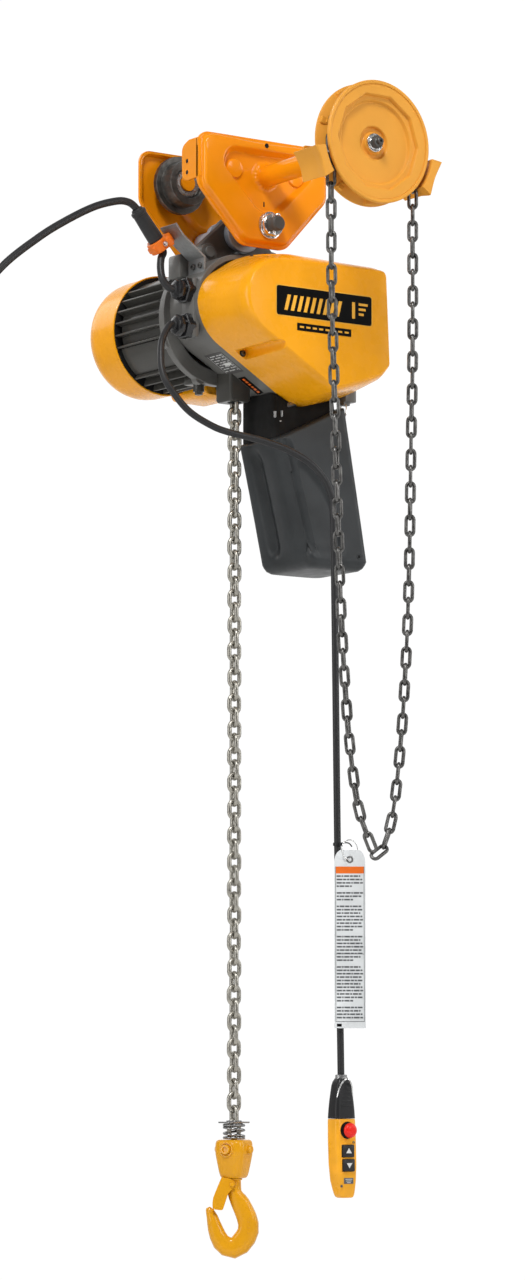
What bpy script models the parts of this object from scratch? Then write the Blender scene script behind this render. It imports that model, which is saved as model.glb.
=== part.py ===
"""Electric chain hoist hanging from a hand-geared beam trolley, drawn as separate solids in metres.

Origin: the beam seat, on top of the bottom flange in the middle of the four wheel contacts.
X runs along the beam, -Y is the side with the hand wheel and the controller cover, +Z is up.
"""
import math

import bmesh
import bpy
from mathutils import Matrix, Vector

MM = 0.001
GAP = 0.3

# Beam and trolley
TREAD_RADIUS = 38.0
AXLE_X = 59.65
AXLE_Z = TREAD_RADIUS
AXLE_RADIUS = 9.0
POCKET_FACE_Y = 85.0
PLATE_THICKNESS = 7.0
RIM_FACE_Y = 87.0
RIDGE_FACE_Y = 97.0
PLATE_CORNERS = (
    (-130, 91, 20), (-130, 5, 26), (-48, -84, 28), (38, -84, 28), (120, 5, 26), (120, 46, 22), (88, 91, 26),
)
POCKET_CORNERS = ((-120, 71, 24), (0, -46, 38), (120, 71, 24))
PLATE_POINTS = 40
TAB_X = -130.0
TAB_SIZE = (6.0, 47.0, 66.0)
TAB_HOLE_Z = (46.0, 28.0)
TAB_HOLE_RADIUS = 3.4

# Track wheels and their gear drive
MODULE = 3.0
WHEEL_TEETH = 30
PINION_TEETH = 10
GEAR_ADDENDUM = 0.8
GEAR_DEDENDUM = 1.1
PRESSURE_ANGLE = math.radians(25.0)
BACKLASH = 0.35
GEAR_FACE = (66.8, 76.2)
TREAD_FACE = (42.0, 66.8)
PLAIN_FLANGE_RADIUS = 47.4

# Hand wheel drive
DRIVE_Z = 31.5
DRIVE_RADIUS = 8.0
TUBE_RADIUS = 17.0
TUBE_BORE = 12.5
TUBE_END_Y = -330.0
HAND_WHEEL_RADIUS = 94.0
HAND_WHEEL_FRONT = -391.0
HAND_WHEEL_BACK = -353.0
HAND_CHAIN_Y = -372.0
GUIDE_ARCS = ((190.0, 211.5), (-33.5, -8.0))
GUIDE_INNER = 102.5
GUIDE_OUTER = 122.5
GUIDE_HOLLOW = 6.0
GUIDE_STEPS = 6
HAND_CHAIN_RADIUS = 6.0
HAND_CHAIN_ROUTE = (
    (77.8, 31.5), (77.7, -120), (77.0, -282), (73.0, -439), (68.2, -632), (62.0, -760), (50.0, -902),
    (33.0, -1010), (8.0, -1060), (-14.0, -1030), (-31.7, -981), (-46.0, -890), (-54.0, -800),
    (-61.5, -680), (-69.6, -451), (-76.5, -221), (-77.8, -100), (-77.8, 31.5),
)

# Suspension
SHAFT_Z = -49.5
SHAFT_RADIUS = 12.0
PIN_X = 62.0
PIN_Z = -86.0
PIN_RADIUS = 7.0

# Hoist body
MOTOR_X = -20.0
MOTOR_Z = -189.0
PARTING_Y = -65.0
FRAME_BACK_Y = 28.0
COVER_FACE_Y = -190.0
BODY_CORNERS = (
    (-116, -91, 82), (-116, -220.6, 82), (72, -333.5, 34), (150, -311.5, 14), (177, -295, 10), (174, -102,
                                                                                                14),
)
FACE_CORNERS = (
    (-99, -127, 58), (-99, -218.3, 58), (62, -315, 14), (150, -285, 20), (168, -270, 6), (161, -122, 9),
)
BODY_CENTRE = (20.0, -205.0)
BODY_POINTS = 36
WALL = 3.0
MOTOR_RIM_Y = 172.0
FIN_BASE_RADIUS = 81.0
FIN_TIP_RADIUS = 93.0

# Lift drive
SHEAVE_X = 33.4
SHEAVE_Z = -214.1
LIFT_MODULE = 2.0
ROTOR_TEETH = 12
LOAD_TEETH = 47

# Load chain and hook set
LOAD_CHAIN_RADIUS = 7.5
LIMIT_PLATE_Z = -1469.0
YOKE_TOP_Z = -1496.0
YOKE_BOTTOM_Z = -1556.0
HOOK_BOTTOM_Z = -1682.0
HOOK_TURN = math.radians(-35.0)
YOKE_TURN = math.radians(27.0)
HOOK_PATH = (
    (0, 127, 10, 10), (0, 112, 11, 10.5), (7, 97, 17, 10.5), (17, 78, 18.5, 11.5), (24, 55, 17.5, 12.5),
    (18, 34, 17, 12.5), (-1, 17.5, 16.5, 12.5), (-20, 27, 14, 11.5), (-29, 48, 11.5, 10), (-34, 66, 8.5, 8),
    (-39.5, 78, 4.5, 4.5),
)
LATCH_PIVOT = (-3.0, 116.0)

# Cords and their fittings
POWER_CABLE_RADIUS = 6.0
POWER_ROUTE = (
    (-163.0, -20.0, -82.0), (-184.0, -20.0, -55.0), (-205.0, -20.0, -31.0), (-222.0, -20.0, -24.0),
    (-245.0, -20.0, -27.0), (-284.0, -20.0, -41.0), (-335.0, -20.0, -69.0), (-385.0, -20.0, -102.0),
    (-450.0, -20.0, -155.0), (-500.0, -20.0, -220.0), (-525.0, -20.0, -310.0), (-530.0, -20.0, -450.0),
    (-530.0, -20.0, -700.0), (-530.0, -20.0, -1000.0),
)
GLAND_ROUTE = (
    (-142.2, -36.0, -158.0), (-150.5, -34.5, -156.0), (-159.0, -30.5, -144.0), (-160.0, -25.5, -126.0),
    (-156.5, -21.5, -108.0), (-151.5, -20.0, -95.9),
)
PENDANT_CABLE_RADIUS = 5.5
PENDANT_ROUTE = (
    (-142.2, -36.0, -215.0), (-151.5, -37.5, -218.0), (-170.0, -46.0, -243.0), (-178.5, -55.0, -270.0),
    (-181.0, -63.0, -297.0), (-174.0, -72.0, -322.0), (-148.0, -86.0, -359.0), (-113.0, -100.0, -382.0),
    (-84.0, -110.0, -392.0), (-40.0, -121.0, -400.0), (5.0, -134.0, -413.0), (45.0, -144.0, -433.0),
    (70.0, -149.0, -458.0), (81.0, -151.5, -482.0), (85.0, -152.0, -512.0), (88.0, -152.0, -700.0),
    (92.0, -152.0, -1032.0), (96.0, -152.0, -1278.0), (98.0, -152.0, -1402.0),
)
PENDANT_X = 98.5
PENDANT_Y = -152.0
PENDANT_TOP_Z = -1402.0
PENDANT_SEAM_Z = -1462.0
PENDANT_BOTTOM_Z = -1592.0
GLAND_Y = -36.0
POWER_GLAND_Z = -158.0
PENDANT_GLAND_Z = -215.0

COLOURS = {
    "yellow": ((0.88, 0.41, 0.012), 0.32, 0.0),
    "orange": ((0.86, 0.24, 0.012), 0.34, 0.0),
    "casting": ((0.115, 0.108, 0.098), 0.48, 0.25),
    "zinc": ((0.55, 0.57, 0.58), 0.34, 0.9),
    "dark_steel": ((0.16, 0.155, 0.14), 0.42, 0.8),
    "nickel": ((0.60, 0.58, 0.53), 0.30, 0.9),
    "black": ((0.018, 0.018, 0.019), 0.45, 0.0),
    "rubber": ((0.025, 0.025, 0.026), 0.6, 0.0),
    "container": ((0.035, 0.038, 0.042), 0.42, 0.0),
    "red": ((0.75, 0.02, 0.015), 0.35, 0.0),
    "white": ((0.82, 0.84, 0.84), 0.5, 0.0),
    "copper": ((0.55, 0.24, 0.10), 0.4, 0.6),
    "green": ((0.03, 0.16, 0.07), 0.5, 0.0),
}


def clear_scene():
    for item in list(bpy.data.objects):
        bpy.data.objects.remove(item, do_unlink=True)


def give_material(obj, colour):
    """Each sub-part has a material of its own, so that it can be changed alone."""
    base, roughness, metallic = COLOURS[colour]
    material = bpy.data.materials.new(obj.name + "_mat")
    material.use_nodes = True
    shader = material.node_tree.nodes["Principled BSDF"]
    shader.inputs["Base Color"].default_value = (*base, 1.0)
    shader.inputs["Roughness"].default_value = roughness
    shader.inputs["Metallic"].default_value = metallic
    obj.data.materials.clear()
    obj.data.materials.append(material)


def finish(name, shape, colour=None, pivot=(0.0, 0.0, 0.0), smooth=True):
    """Turn a bmesh drawn in millimetres into an object whose origin is the pivot."""
    bmesh.ops.remove_doubles(shape, verts=shape.verts, dist=1e-4)
    bmesh.ops.recalc_face_normals(shape, faces=shape.faces)
    if shape.calc_volume(signed=True) < 0:
        bmesh.ops.reverse_faces(shape, faces=shape.faces)
    bmesh.ops.transform(
        shape, matrix=Matrix.Scale(MM, 4) @ Matrix.Translation(-Vector(pivot)), verts=shape.verts
    )
    mesh = bpy.data.meshes.new(name)
    shape.to_mesh(mesh)
    shape.free()
    obj = bpy.data.objects.new(name, mesh)
    obj.location = Vector(pivot) * MM
    bpy.context.scene.collection.objects.link(obj)
    if smooth:
        mesh.shade_smooth()
        mesh.set_sharp_from_angle(angle=math.radians(35))
    if colour:
        give_material(obj, colour)
    return obj


def loft(rings, closed_tube=False):
    """Join rings of equal length with quads; the end rings are capped unless the rings form a loop."""
    shape = bmesh.new()
    rows = [[shape.verts.new(point) for point in ring] for ring in rings]
    count = len(rows[0])
    pairs = list(zip(rows, rows[1:]))
    if closed_tube:
        pairs.append((rows[-1], rows[0]))
    for low, high in pairs:
        for i in range(count):
            j = (i + 1) % count
            shape.faces.new((low[i], low[j], high[j], high[i]))
    if not closed_tube:
        shape.faces.new(rows[0])
        shape.faces.new(rows[-1])
    return shape


def lathe(profile, centre, axis="y", segments=20, ring=False):
    """Turn (radius, distance) pairs about an axis; ring means the profile is itself a closed loop."""
    rings = []
    for radius, along in profile:
        radius = max(radius, 0.01)
        points = []
        for i in range(segments):
            turn = 2 * math.pi * i / segments
            a = radius * math.cos(turn)
            b = radius * math.sin(turn)
            offset = {"x": (along, a, b), "y": (a, along, b), "z": (a, b, along)}[axis]
            points.append(Vector(centre) + Vector(offset))
        rings.append(points)
    return loft(rings, closed_tube=ring)


def rounded(corners, steps=4):
    """Outline of a polygon whose corners (u, v, radius) are replaced by arcs."""
    outline = []
    total = len(corners)
    for i, (u, v, radius) in enumerate(corners):
        here = Vector((u, v))
        before = Vector(corners[i - 1][:2]) - here
        after = Vector(corners[(i + 1) % total][:2]) - here
        half = before.angle(after) / 2
        reach = min(radius / math.tan(half), 0.49 * before.length, 0.49 * after.length)
        bisector = (before.normalized() + after.normalized()).normalized()
        middle = here + bisector * (reach / math.cos(half))
        first = here + before.normalized() * reach - middle
        swing = first.angle_signed(here + after.normalized() * reach - middle)
        for k in range(steps + 1):
            outline.append(middle + Matrix.Rotation(-swing * k / steps, 2) @ first)
    return outline


def by_angle(corners, centre, count, steps=8):
    """The same outline, sampled at equal angles seen from a centre, so that outlines can be lofted."""
    outline = rounded(corners, steps)
    centre = Vector(centre)
    sampled = []
    for i in range(count):
        turn = 2 * math.pi * i / count
        ray = Vector((math.cos(turn), math.sin(turn)))
        best = 0.0
        for a, b in zip(outline, outline[1:] + outline[:1]):
            edge = b - a
            cross = ray.x * edge.y - ray.y * edge.x
            if abs(cross) < 1e-9:
                continue
            rel = a - centre
            distance = (rel.x * edge.y - rel.y * edge.x) / cross
            along = (rel.x * ray.y - rel.y * ray.x) / cross
            if -1e-6 <= along <= 1 + 1e-6 and distance > best:
                best = distance
        sampled.append(centre + ray * best)
    return sampled


def inset(points, centre, amount):
    """Move every point of an outline towards a centre by a fixed amount."""
    centre = Vector(centre)
    return [point - (point - centre).normalized() * amount for point in points]


def at_y(points, y):
    return [Vector((p.x, y, p.y)) for p in points]


def at_z(points, z):
    return [Vector((p.x, p.y, z)) for p in points]


def box(centre, size, turn=None):
    shape = bmesh.new()
    bmesh.ops.create_cube(shape, size=1.0)
    matrix = Matrix.Translation(centre) @ (turn or Matrix()) @ Matrix.Diagonal((*size, 1.0))
    bmesh.ops.transform(shape, matrix=matrix, verts=shape.verts)
    return shape


def cylinder(centre, radius, length, axis="y", segments=16):
    half = length / 2
    return lathe([(radius, -half), (radius, half)], centre, axis, segments)


def combine(obj, shapes, operation):
    """Apply exact booleans in turn: the shapes are bmeshes in millimetres, in world position."""
    for index, shape in enumerate(shapes):
        tool = finish(obj.name + "_tool" + str(index), shape, smooth=False)
        tool.hide_render = True
        tool.display_type = "WIRE"
        modifier = obj.modifiers.new("cut", "BOOLEAN")
        modifier.operation = operation
        modifier.solver = "EXACT"
        modifier.object = tool
        depsgraph = bpy.context.evaluated_depsgraph_get()
        result = bpy.data.meshes.new_from_object(obj.evaluated_get(depsgraph))
        obj.modifiers.clear()
        old = obj.data
        obj.data = result
        bpy.data.meshes.remove(old)
        bpy.data.objects.remove(tool, do_unlink=True)
    obj.data.shade_smooth()
    obj.data.set_sharp_from_angle(angle=math.radians(35))
    return obj


def cut(obj, *shapes):
    return combine(obj, shapes, "DIFFERENCE")


def add(obj, *shapes):
    return combine(obj, shapes, "UNION")


def gear_outline(teeth, module, tooth_at, thinning):
    """Involute gear outline as (radius, angle) pairs; one tooth points along the angle tooth_at."""
    pitch = teeth * module / 2
    base = pitch * math.cos(PRESSURE_ANGLE)
    tip = pitch + GEAR_ADDENDUM * module
    root = pitch - GEAR_DEDENDUM * module
    spread = math.tan(PRESSURE_ANGLE) - PRESSURE_ANGLE
    half_at_pitch = math.pi / (2 * teeth) - thinning / (2 * pitch)

    def half_angle(radius):
        if radius <= base:
            return half_at_pitch + spread
        pressure = math.acos(base / radius)
        return half_at_pitch + spread - (math.tan(pressure) - pressure)

    outline = []
    for i in range(teeth):
        middle = tooth_at + 2 * math.pi * i / teeth
        for radius in (root, tip):
            outline.append((radius, middle - half_angle(radius)))
        for radius in (tip, root):
            outline.append((radius, middle + half_angle(radius)))
    return outline


def gear_prism(teeth, module, centre, y0, y1, tooth_at, thinning=BACKLASH / 2):
    """A gear blank with real teeth between two planes across Y."""
    outline = gear_outline(teeth, module, tooth_at, thinning)
    rings = []
    for y in (y0, y1):
        rings.append([
            Vector((centre[0] + r * math.cos(a), y, centre[1] + r * math.sin(a))) for r, a in outline
        ])
    return loft(rings)


def smooth_path(route, closed=False, per_span=4):
    """Catmull-Rom points through a few route points."""
    points = [Vector(p) for p in route]
    count = len(points)
    spans = count if closed else count - 1
    path = []
    for i in range(spans):
        p1 = points[i]
        p2 = points[(i + 1) % count]
        p0 = points[i - 1] if (closed or i) else p1 * 2 - p2
        p3 = points[(i + 2) % count] if (closed or i + 2 < count) else p2 * 2 - p1
        for k in range(per_span):
            t = k / per_span
            path.append(0.5 * (
                2 * p1 + (p2 - p0) * t + (2 * p0 - 5 * p1 + 4 * p2 - p3) * t ** 2
                + (3 * p1 - p0 - 3 * p2 + p3) * t ** 3
            ))
    if not closed:
        path.append(points[-1])
    return path


def cord(name, route, radius, colour, closed=False, per_span=3):
    curve = bpy.data.curves.new(name, "CURVE")
    curve.dimensions = "3D"
    curve.bevel_depth = radius * MM
    curve.bevel_resolution = 2
    curve.use_fill_caps = not closed
    path = smooth_path(route, closed, per_span)
    spline = curve.splines.new("POLY")
    spline.points.add(len(path) - 1)
    for spot, point in zip(spline.points, path):
        spot.co = (*(point * MM), 1.0)
    spline.use_cyclic_u = closed
    obj = bpy.data.objects.new(name, curve)
    bpy.context.scene.collection.objects.link(obj)
    give_material(obj, colour)
    return obj


def aim(shape, centre, direction):
    """Stand a shape drawn about the Z axis at the origin along a direction at a centre."""
    turn = Vector((0, 0, 1)).rotation_difference(Vector(direction)).to_matrix().to_4x4()
    bmesh.ops.transform(shape, matrix=Matrix.Translation(centre) @ turn, verts=shape.verts)
    return shape


# ---------------------------------------------------------------- trolley


def side_plate(name, side):
    """Stamped plate: a rim, a raised ridge and a sunk pocket that carries the axles."""
    centre = (-4.0, 12.0)
    rim = by_angle(PLATE_CORNERS, centre, PLATE_POINTS)
    edge = by_angle(POCKET_CORNERS, centre, PLATE_POINTS)
    outlines = {
        "rim": rim,
        "step": inset(rim, centre, 5.0),
        "ridge": inset(rim, centre, 11.0),
        "edge": edge,
        "floor": inset(edge, centre, 6.0),
    }
    skin = (("floor", POCKET_FACE_Y), ("edge", RIDGE_FACE_Y), ("ridge", RIDGE_FACE_Y), ("step", RIM_FACE_Y),
            ("rim", RIM_FACE_Y))
    rings = [at_y(outlines[key], side * (y - PLATE_THICKNESS)) for key, y in skin]
    rings += [at_y(outlines[key], side * y) for key, y in reversed(skin)]
    plate = finish(name, loft(rings))
    holes = [cylinder((x, side * 82, AXLE_Z), AXLE_RADIUS + GAP, 30) for x in (-AXLE_X, AXLE_X)]
    holes.append(cylinder((0, side * 92, SHAFT_Z), SHAFT_RADIUS + GAP, 30))
    if side < 0:
        tab_y = side * (RIM_FACE_Y - TAB_SIZE[1] / 2)
        add(plate, box((TAB_X + TAB_SIZE[0] / 2, tab_y, 47.0), TAB_SIZE))
        holes.append(cylinder((0, side * 82, DRIVE_Z), DRIVE_RADIUS + 2 * GAP, 30, segments=16))
        holes.append(cylinder((-5, side * 92, 80), 4.0, 30, segments=10))
        holes += [cylinder((TAB_X, side * 56, z), TAB_HOLE_RADIUS, 20, "x", 10) for z in TAB_HOLE_Z]
    cut(plate, *holes)
    give_material(plate, "orange")


def meshed_tooth(x):
    """Direction of a wheel tooth that meets a gap of the pinion, which has one facing the right wheel."""
    toward_wheel = math.atan2(AXLE_Z - DRIVE_Z, x)
    pitch = 2 * math.pi / PINION_TEETH
    gap = math.atan2(AXLE_Z - DRIVE_Z, AXLE_X)
    offset = (gap - toward_wheel + pitch / 2) % pitch - pitch / 2
    return toward_wheel + math.pi - offset * PINION_TEETH / WHEEL_TEETH


def track_wheel(name, x, side):
    """Tread and flange on one bore; the front wheels carry gear teeth on the flange."""
    centre = (x, 0, AXLE_Z)
    inner, outer = TREAD_FACE
    tread = [(TREAD_RADIUS - 1.5, side * inner), (TREAD_RADIUS, side * (outer - 6)),
             (TREAD_RADIUS, side * (outer + 1))]
    wheel = finish(name, lathe(tread, centre, segments=24), pivot=centre)
    if side < 0:
        flange = gear_prism(WHEEL_TEETH, MODULE, (x, AXLE_Z), side * GEAR_FACE[0], side * GEAR_FACE[1],
                            meshed_tooth(x))
    else:
        flange = lathe([(PLAIN_FLANGE_RADIUS, side * GEAR_FACE[0]), (PLAIN_FLANGE_RADIUS,
                                                                     side * GEAR_FACE[1])],
                       centre, segments=24)
    add(wheel, flange)
    cut(wheel, cylinder((x, side * 60, AXLE_Z), AXLE_RADIUS + GAP, 60),
        lathe([(26, side * (inner - 2)), (24, side * (inner + 7))], centre, segments=16))
    give_material(wheel, "dark_steel")


def wheel_axle(name, x, side):
    profile = [(0, 89), (11.5, 89), (13.5, 87.5), (13.5, POCKET_FACE_Y + GAP), (AXLE_RADIUS,
                                                                                POCKET_FACE_Y + GAP),
               (AXLE_RADIUS, 48.6), (13, 48.6), (13, 44), (0, 44)]
    axle = finish(name, lathe([(r, side * y) for r, y in profile], (x, 0, AXLE_Z), segments=14))
    give_material(axle, "orange")


def suspension():
    profile = [(0, -126), (10.5, -126), (SHAFT_RADIUS, -124), (SHAFT_RADIUS, RIDGE_FACE_Y + GAP),
               (19, RIDGE_FACE_Y + GAP), (19, 106), (0, 106)]
    shaft = finish("suspension_shaft", lathe(profile, (0, 0, SHAFT_Z)))
    pin_axis = Vector((0.3, 0, 1)).normalized()
    cut(shaft, aim(lathe([(2.5, -30), (2.5, 30)], (0, 0, 0), "z", 10), (0, -116, SHAFT_Z), pin_axis))
    give_material(shaft, "dark_steel")
    bore = SHAFT_RADIUS + GAP
    profile = [(bore, -97.3), (19.5, -97.3), (19.5, -107), (21.5, -107), (21.5, -110.5), (bore, -110.5)]
    washer = finish("shaft_washer", lathe(profile, (0, 0, SHAFT_Z), ring=True))
    give_material(washer, "zinc")
    pin = lathe([(0, -20), (1.4, -20), (2.2, -17), (2.2, 16), (4, 17), (4, 21), (0, 22)], (0, 0, 0), "z",
                10)
    give_material(finish("split_pin", aim(pin, (0, -116, SHAFT_Z), pin_axis)), "zinc")
    front = [(bore, -89.7), (18, -89.7), (18, -34), (24, -34), (24, -28), (32, -27), (32, -19), (22, -18),
             (22, -16), (27, -15),
             (27, -8.3), (bore, -8.3)]
    rear = [(bore, 8.3), (32, 8.3), (32, 17), (22, 18), (22, 21), (27, 22), (27, 30), (18, 30), (18, 89.7),
            (bore, 89.7)]
    for name, profile in (("spacer_front", front), ("spacer_rear", rear)):
        give_material(finish(name, lathe(profile, (0, 0, SHAFT_Z), ring=True, segments=20)), "zinc")


def hand_drive():
    profile = [(TUBE_BORE, -85.3), (TUBE_RADIUS + 7, -85.3), (TUBE_RADIUS, -92), (TUBE_RADIUS,
                                                                                  TUBE_END_Y + 2.3),
               (TUBE_BORE, TUBE_END_Y + 2.3)]
    tube = finish("shaft_tube", lathe(profile, (0, 0, DRIVE_Z), ring=True))
    give_material(tube, "orange")

    profile = [(0, -62), (DRIVE_RADIUS, -62), (DRIVE_RADIUS, -389), (6, -391), (0, -391)]
    shaft = finish("pinion_shaft", lathe(profile, (0, 0, DRIVE_Z), segments=16), pivot=(0, 0, DRIVE_Z))
    to_wheel = math.atan2(AXLE_Z - DRIVE_Z, AXLE_X) + math.pi / PINION_TEETH
    add(shaft, gear_prism(PINION_TEETH, MODULE, (0, DRIVE_Z), -GEAR_FACE[0], -GEAR_FACE[1], to_wheel))
    give_material(shaft, "dark_steel")

    bore = DRIVE_RADIUS + GAP
    rim = HAND_WHEEL_RADIUS
    front, back = HAND_WHEEL_FRONT, HAND_WHEEL_BACK
    profile = [(bore, front + 15), (17, front + 15), (19, front + 20), (26, front + 20), (28, front + 13.5),
               (64, front + 13.5), (67, front + 8), (72, front + 6), (77, front + 2), (88, front), (rim,
                                                                                                    front),
               (rim, front + 5), (83, front + 10), (69, front + 15), (67, HAND_CHAIN_Y), (69, back - 15),
               (83, back - 9), (rim, back - 5), (rim, back), (88, back), (74, back - 6), (30, back - 6),
               (20, back), (bore, back)]
    wheel = finish("hand_wheel", lathe(profile, (0, 0, DRIVE_Z), ring=True, segments=28), pivot=(0, 0,
                                                                                                 DRIVE_Z))
    give_material(wheel, "yellow")

    profile = [(bore, front + 14.7), (13, front + 14.7), (13, front + 12.5), (11, front + 12.5), (11,
                                                                                                  front + 5),
               (bore, front + 5)]
    nut = finish("hand_wheel_nut", lathe(profile, (0, 0, DRIVE_Z), ring=True, segments=12),
                 pivot=(0, 0, DRIVE_Z))
    give_material(nut, "zinc")


def chain_guide():
    """Sheet bracket behind the hand wheel whose two curved ends keep the chain in its groove."""
    bracket = finish("chain_guide_bracket", box((3, TUBE_END_Y, DRIVE_Z - 27), (208, 4, 26)))
    add(bracket, cylinder((0, TUBE_END_Y, DRIVE_Z), TUBE_RADIUS + 4, 4))
    for start, end in GUIDE_ARCS:
        outline = []
        for outer, first, last in ((False, start, end), (True, end, start)):
            for i in range(GUIDE_STEPS + 1):
                share = i / GUIDE_STEPS
                hollow = GUIDE_HOLLOW * math.sin(math.pi * share)
                radius = GUIDE_OUTER - hollow if outer else GUIDE_INNER
                turn = math.radians(first + (last - first) * share)
                outline.append(Vector((radius * math.cos(turn), DRIVE_Z + radius * math.sin(turn))))
        add(bracket, loft([at_y(outline, TUBE_END_Y + 2), at_y(outline, HAND_WHEEL_FRONT - 1)]))
    cut(bracket, cylinder((0, TUBE_END_Y, DRIVE_Z), DRIVE_RADIUS + 1, 20, segments=16))
    give_material(bracket, "yellow")


def hand_chain():
    route = [Vector((x, HAND_CHAIN_Y, z)) for x, z in HAND_CHAIN_ROUTE]
    top = []
    for i in range(1, 8):
        turn = math.pi - math.pi * i / 8
        radius = HAND_CHAIN_ROUTE[0][0]
        top.append(Vector((radius * math.cos(turn), HAND_CHAIN_Y, DRIVE_Z + radius * math.sin(turn))))
    cord("hand_chain", route + top, HAND_CHAIN_RADIUS, "dark_steel", closed=True, per_span=2)


# ---------------------------------------------------------------- hoist body


def suspender():
    corners = ((-17, -24, 20), (17, -24, 20), (78, -78, 14), (70, -99, 13), (46, -98, 10), (0, -76, 16),
               (-46, -98, 10), (-70, -99, 13), (-78, -78, 14))
    outline = rounded(corners, 3)
    plate = finish("suspender", loft([at_y(outline, -8.0), at_y(outline, 8.0)]))
    holes = [cylinder((x, 0, PIN_Z), PIN_RADIUS + GAP, 40, segments=16) for x in (-PIN_X, PIN_X)]
    cut(plate, cylinder((0, 0, SHAFT_Z), SHAFT_RADIUS + GAP, 40), *holes)
    give_material(plate, "casting")
    for name, x in (("suspender_pin_left", -PIN_X), ("suspender_pin_right", PIN_X)):
        profile = [(0, -23), (8, -23), (9.4, -21.5), (9.4, -18.3), (PIN_RADIUS, -18.3), (PIN_RADIUS, 22),
                   (0, 22)]
        give_material(finish(name, lathe(profile, (x, 0, PIN_Z), segments=16)), "dark_steel")


def hoist_frame():
    """Casting that holds the gears and the load sheave, open towards the controller cover."""
    outer = inset(by_angle(BODY_CORNERS, BODY_CENTRE, BODY_POINTS), BODY_CENTRE, 1.0)
    inner = inset(outer, BODY_CENTRE, 9.0)
    rings = [at_y(inner, FRAME_BACK_Y - 8), at_y(inner, PARTING_Y + GAP), at_y(outer, PARTING_Y + GAP),
             at_y(outer, FRAME_BACK_Y - 4), at_y(inset(outer, BODY_CENTRE, 4.0), FRAME_BACK_Y)]
    frame = finish("hoist_frame", loft(rings))
    lugs = []
    for x in (-PIN_X, PIN_X):
        outline = rounded(((x - 15, -112, 3), (x + 15, -112, 3), (x + 13, -73, 13), (x - 13, -73, 13)), 3)
        lugs += [loft([at_y(outline, y), at_y(outline, y + 9.7)]) for y in (-18.0, 8.3)]
    guide = box((0, 3, -296), (46, 49, 52))
    gland_seat = box((-110, GLAND_Y, -186), (12, 36, 96))
    cable_seat = box((-91, -40, -118), (8, 44, 24))
    corner_box = box((-96, 8, -112), (34, 36, 40))
    add(frame, *lugs, guide, gland_seat, cable_seat, corner_box)
    cut(frame, loft([at_y(inset(inner, BODY_CENTRE, -0.01), FRAME_BACK_Y - 8), at_y(inner, PARTING_Y - 5)]),
        cylinder((0, 0, -300), 13.0, 110, "z", 16), cylinder((2 * SHEAVE_X, 0, -320), 13.0, 60, "z", 16),
        cylinder((MOTOR_X, 24, MOTOR_Z), 16.0, 30), box((0, 0, -80), (168, 16.6, 39)),
        box((-115.7, -36, -117), (40, 48, 28)),
        *[cylinder((x, 0, PIN_Z), PIN_RADIUS + GAP, 60) for x in (-PIN_X, PIN_X)])
    give_material(frame, "casting")


def motor_frame():
    """Finned housing; the fins run along the motor and leave a smooth pad low on the left."""
    outline = []
    fins = 30
    for i in range(fins):
        middle = 2 * math.pi * (i + 0.5) / fins
        pad = 202 < math.degrees(middle) < 232 or 96 < math.degrees(middle) < 130
        tip = FIN_BASE_RADIUS + 6 if pad else FIN_TIP_RADIUS
        for radius, offset in ((FIN_BASE_RADIUS, -0.035), (tip, -0.021), (tip, 0.021), (FIN_BASE_RADIUS,
                                                                                        0.035)):
            angle = middle + offset
            outline.append(Vector((MOTOR_X + radius * math.cos(angle), MOTOR_Z + radius * math.sin(angle))))
    front = FRAME_BACK_Y + GAP
    frame = finish("motor_frame", loft([at_y(outline, front), at_y(outline, MOTOR_RIM_Y + 5.7)]))
    cut(frame, cylinder((MOTOR_X, 110, MOTOR_Z), 77.0, 200, segments=32))
    give_material(frame, "casting")


def rear_cover():
    rim_y = MOTOR_RIM_Y + 6
    outer = [(98, rim_y), (98, 236), (95, 250), (86, 262), (73, 269), (58, 272)]
    inner = [(55, 269), (71.5, 266), (84, 259.5), (92, 248.5), (95, 235), (95, rim_y)]
    cover = finish("rear_cover", lathe(inner + outer, (MOTOR_X, 0, MOTOR_Z), segments=28))
    corners = ((18, -306, 12), (86, -306, 16), (98, -290, 16), (98, -212, 16), (60, -200, 6), (16, -260, 4))
    outline = rounded(corners, 3)
    lobe = finish("lobe", loft([at_y(outline, 108.0), at_y(outline, 212.0)]), smooth=False)
    cut(lobe, cylinder((MOTOR_X, 150, MOTOR_Z), 96.5, 160, segments=28))
    shape = bmesh.new()
    shape.from_mesh(lobe.data)
    bmesh.ops.transform(shape, matrix=Matrix.Scale(1 / MM, 4), verts=shape.verts)
    bpy.data.objects.remove(lobe, do_unlink=True)
    add(cover, shape)
    give_material(cover, "yellow")


def scoop_angles():
    """Directions, seen from the middle of the cover, of the four screw recesses in its edge."""
    return [math.radians(a) for a in (220.0, 114.0, 40.0, 335.0)]


def cover_ring(y, shrink):
    """Outline of the controller cover at a depth, with the screw recesses, made smaller by a wall."""
    centre = Vector(BODY_CENTRE)
    angles = sorted(
        {2 * math.pi * i / BODY_POINTS for i in range(BODY_POINTS)}
        | {(a + d) % (2 * math.pi) for a in scoop_angles() for d in (-0.09, -0.04, 0.04, 0.09)}
    )
    body = by_angle(BODY_CORNERS, centre, 720)
    face = by_angle(FACE_CORNERS, centre, 720)
    depth = max(0.0, min(1.0, (-128.0 - y) / 62.0))
    blend = 1 - math.sqrt(1 - depth ** 2)
    points = []
    for angle in angles:
        index = int(round(angle / (2 * math.pi) * 720)) % 720
        wide = (body[index] - centre).length
        narrow = (face[index] - centre).length
        radius = wide + (narrow - wide) * blend
        if y < -85.0:
            for scoop in scoop_angles():
                off = abs((angle - scoop + math.pi) % (2 * math.pi) - math.pi) * wide
                if off < 10.0:
                    radius = min(radius, wide - 13.0 * math.sqrt(1 - (off / 10.0) ** 2))
        radius -= shrink
        points.append(centre + Vector((math.cos(angle), math.sin(angle))) * radius)
    return at_y(points, y)


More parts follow.
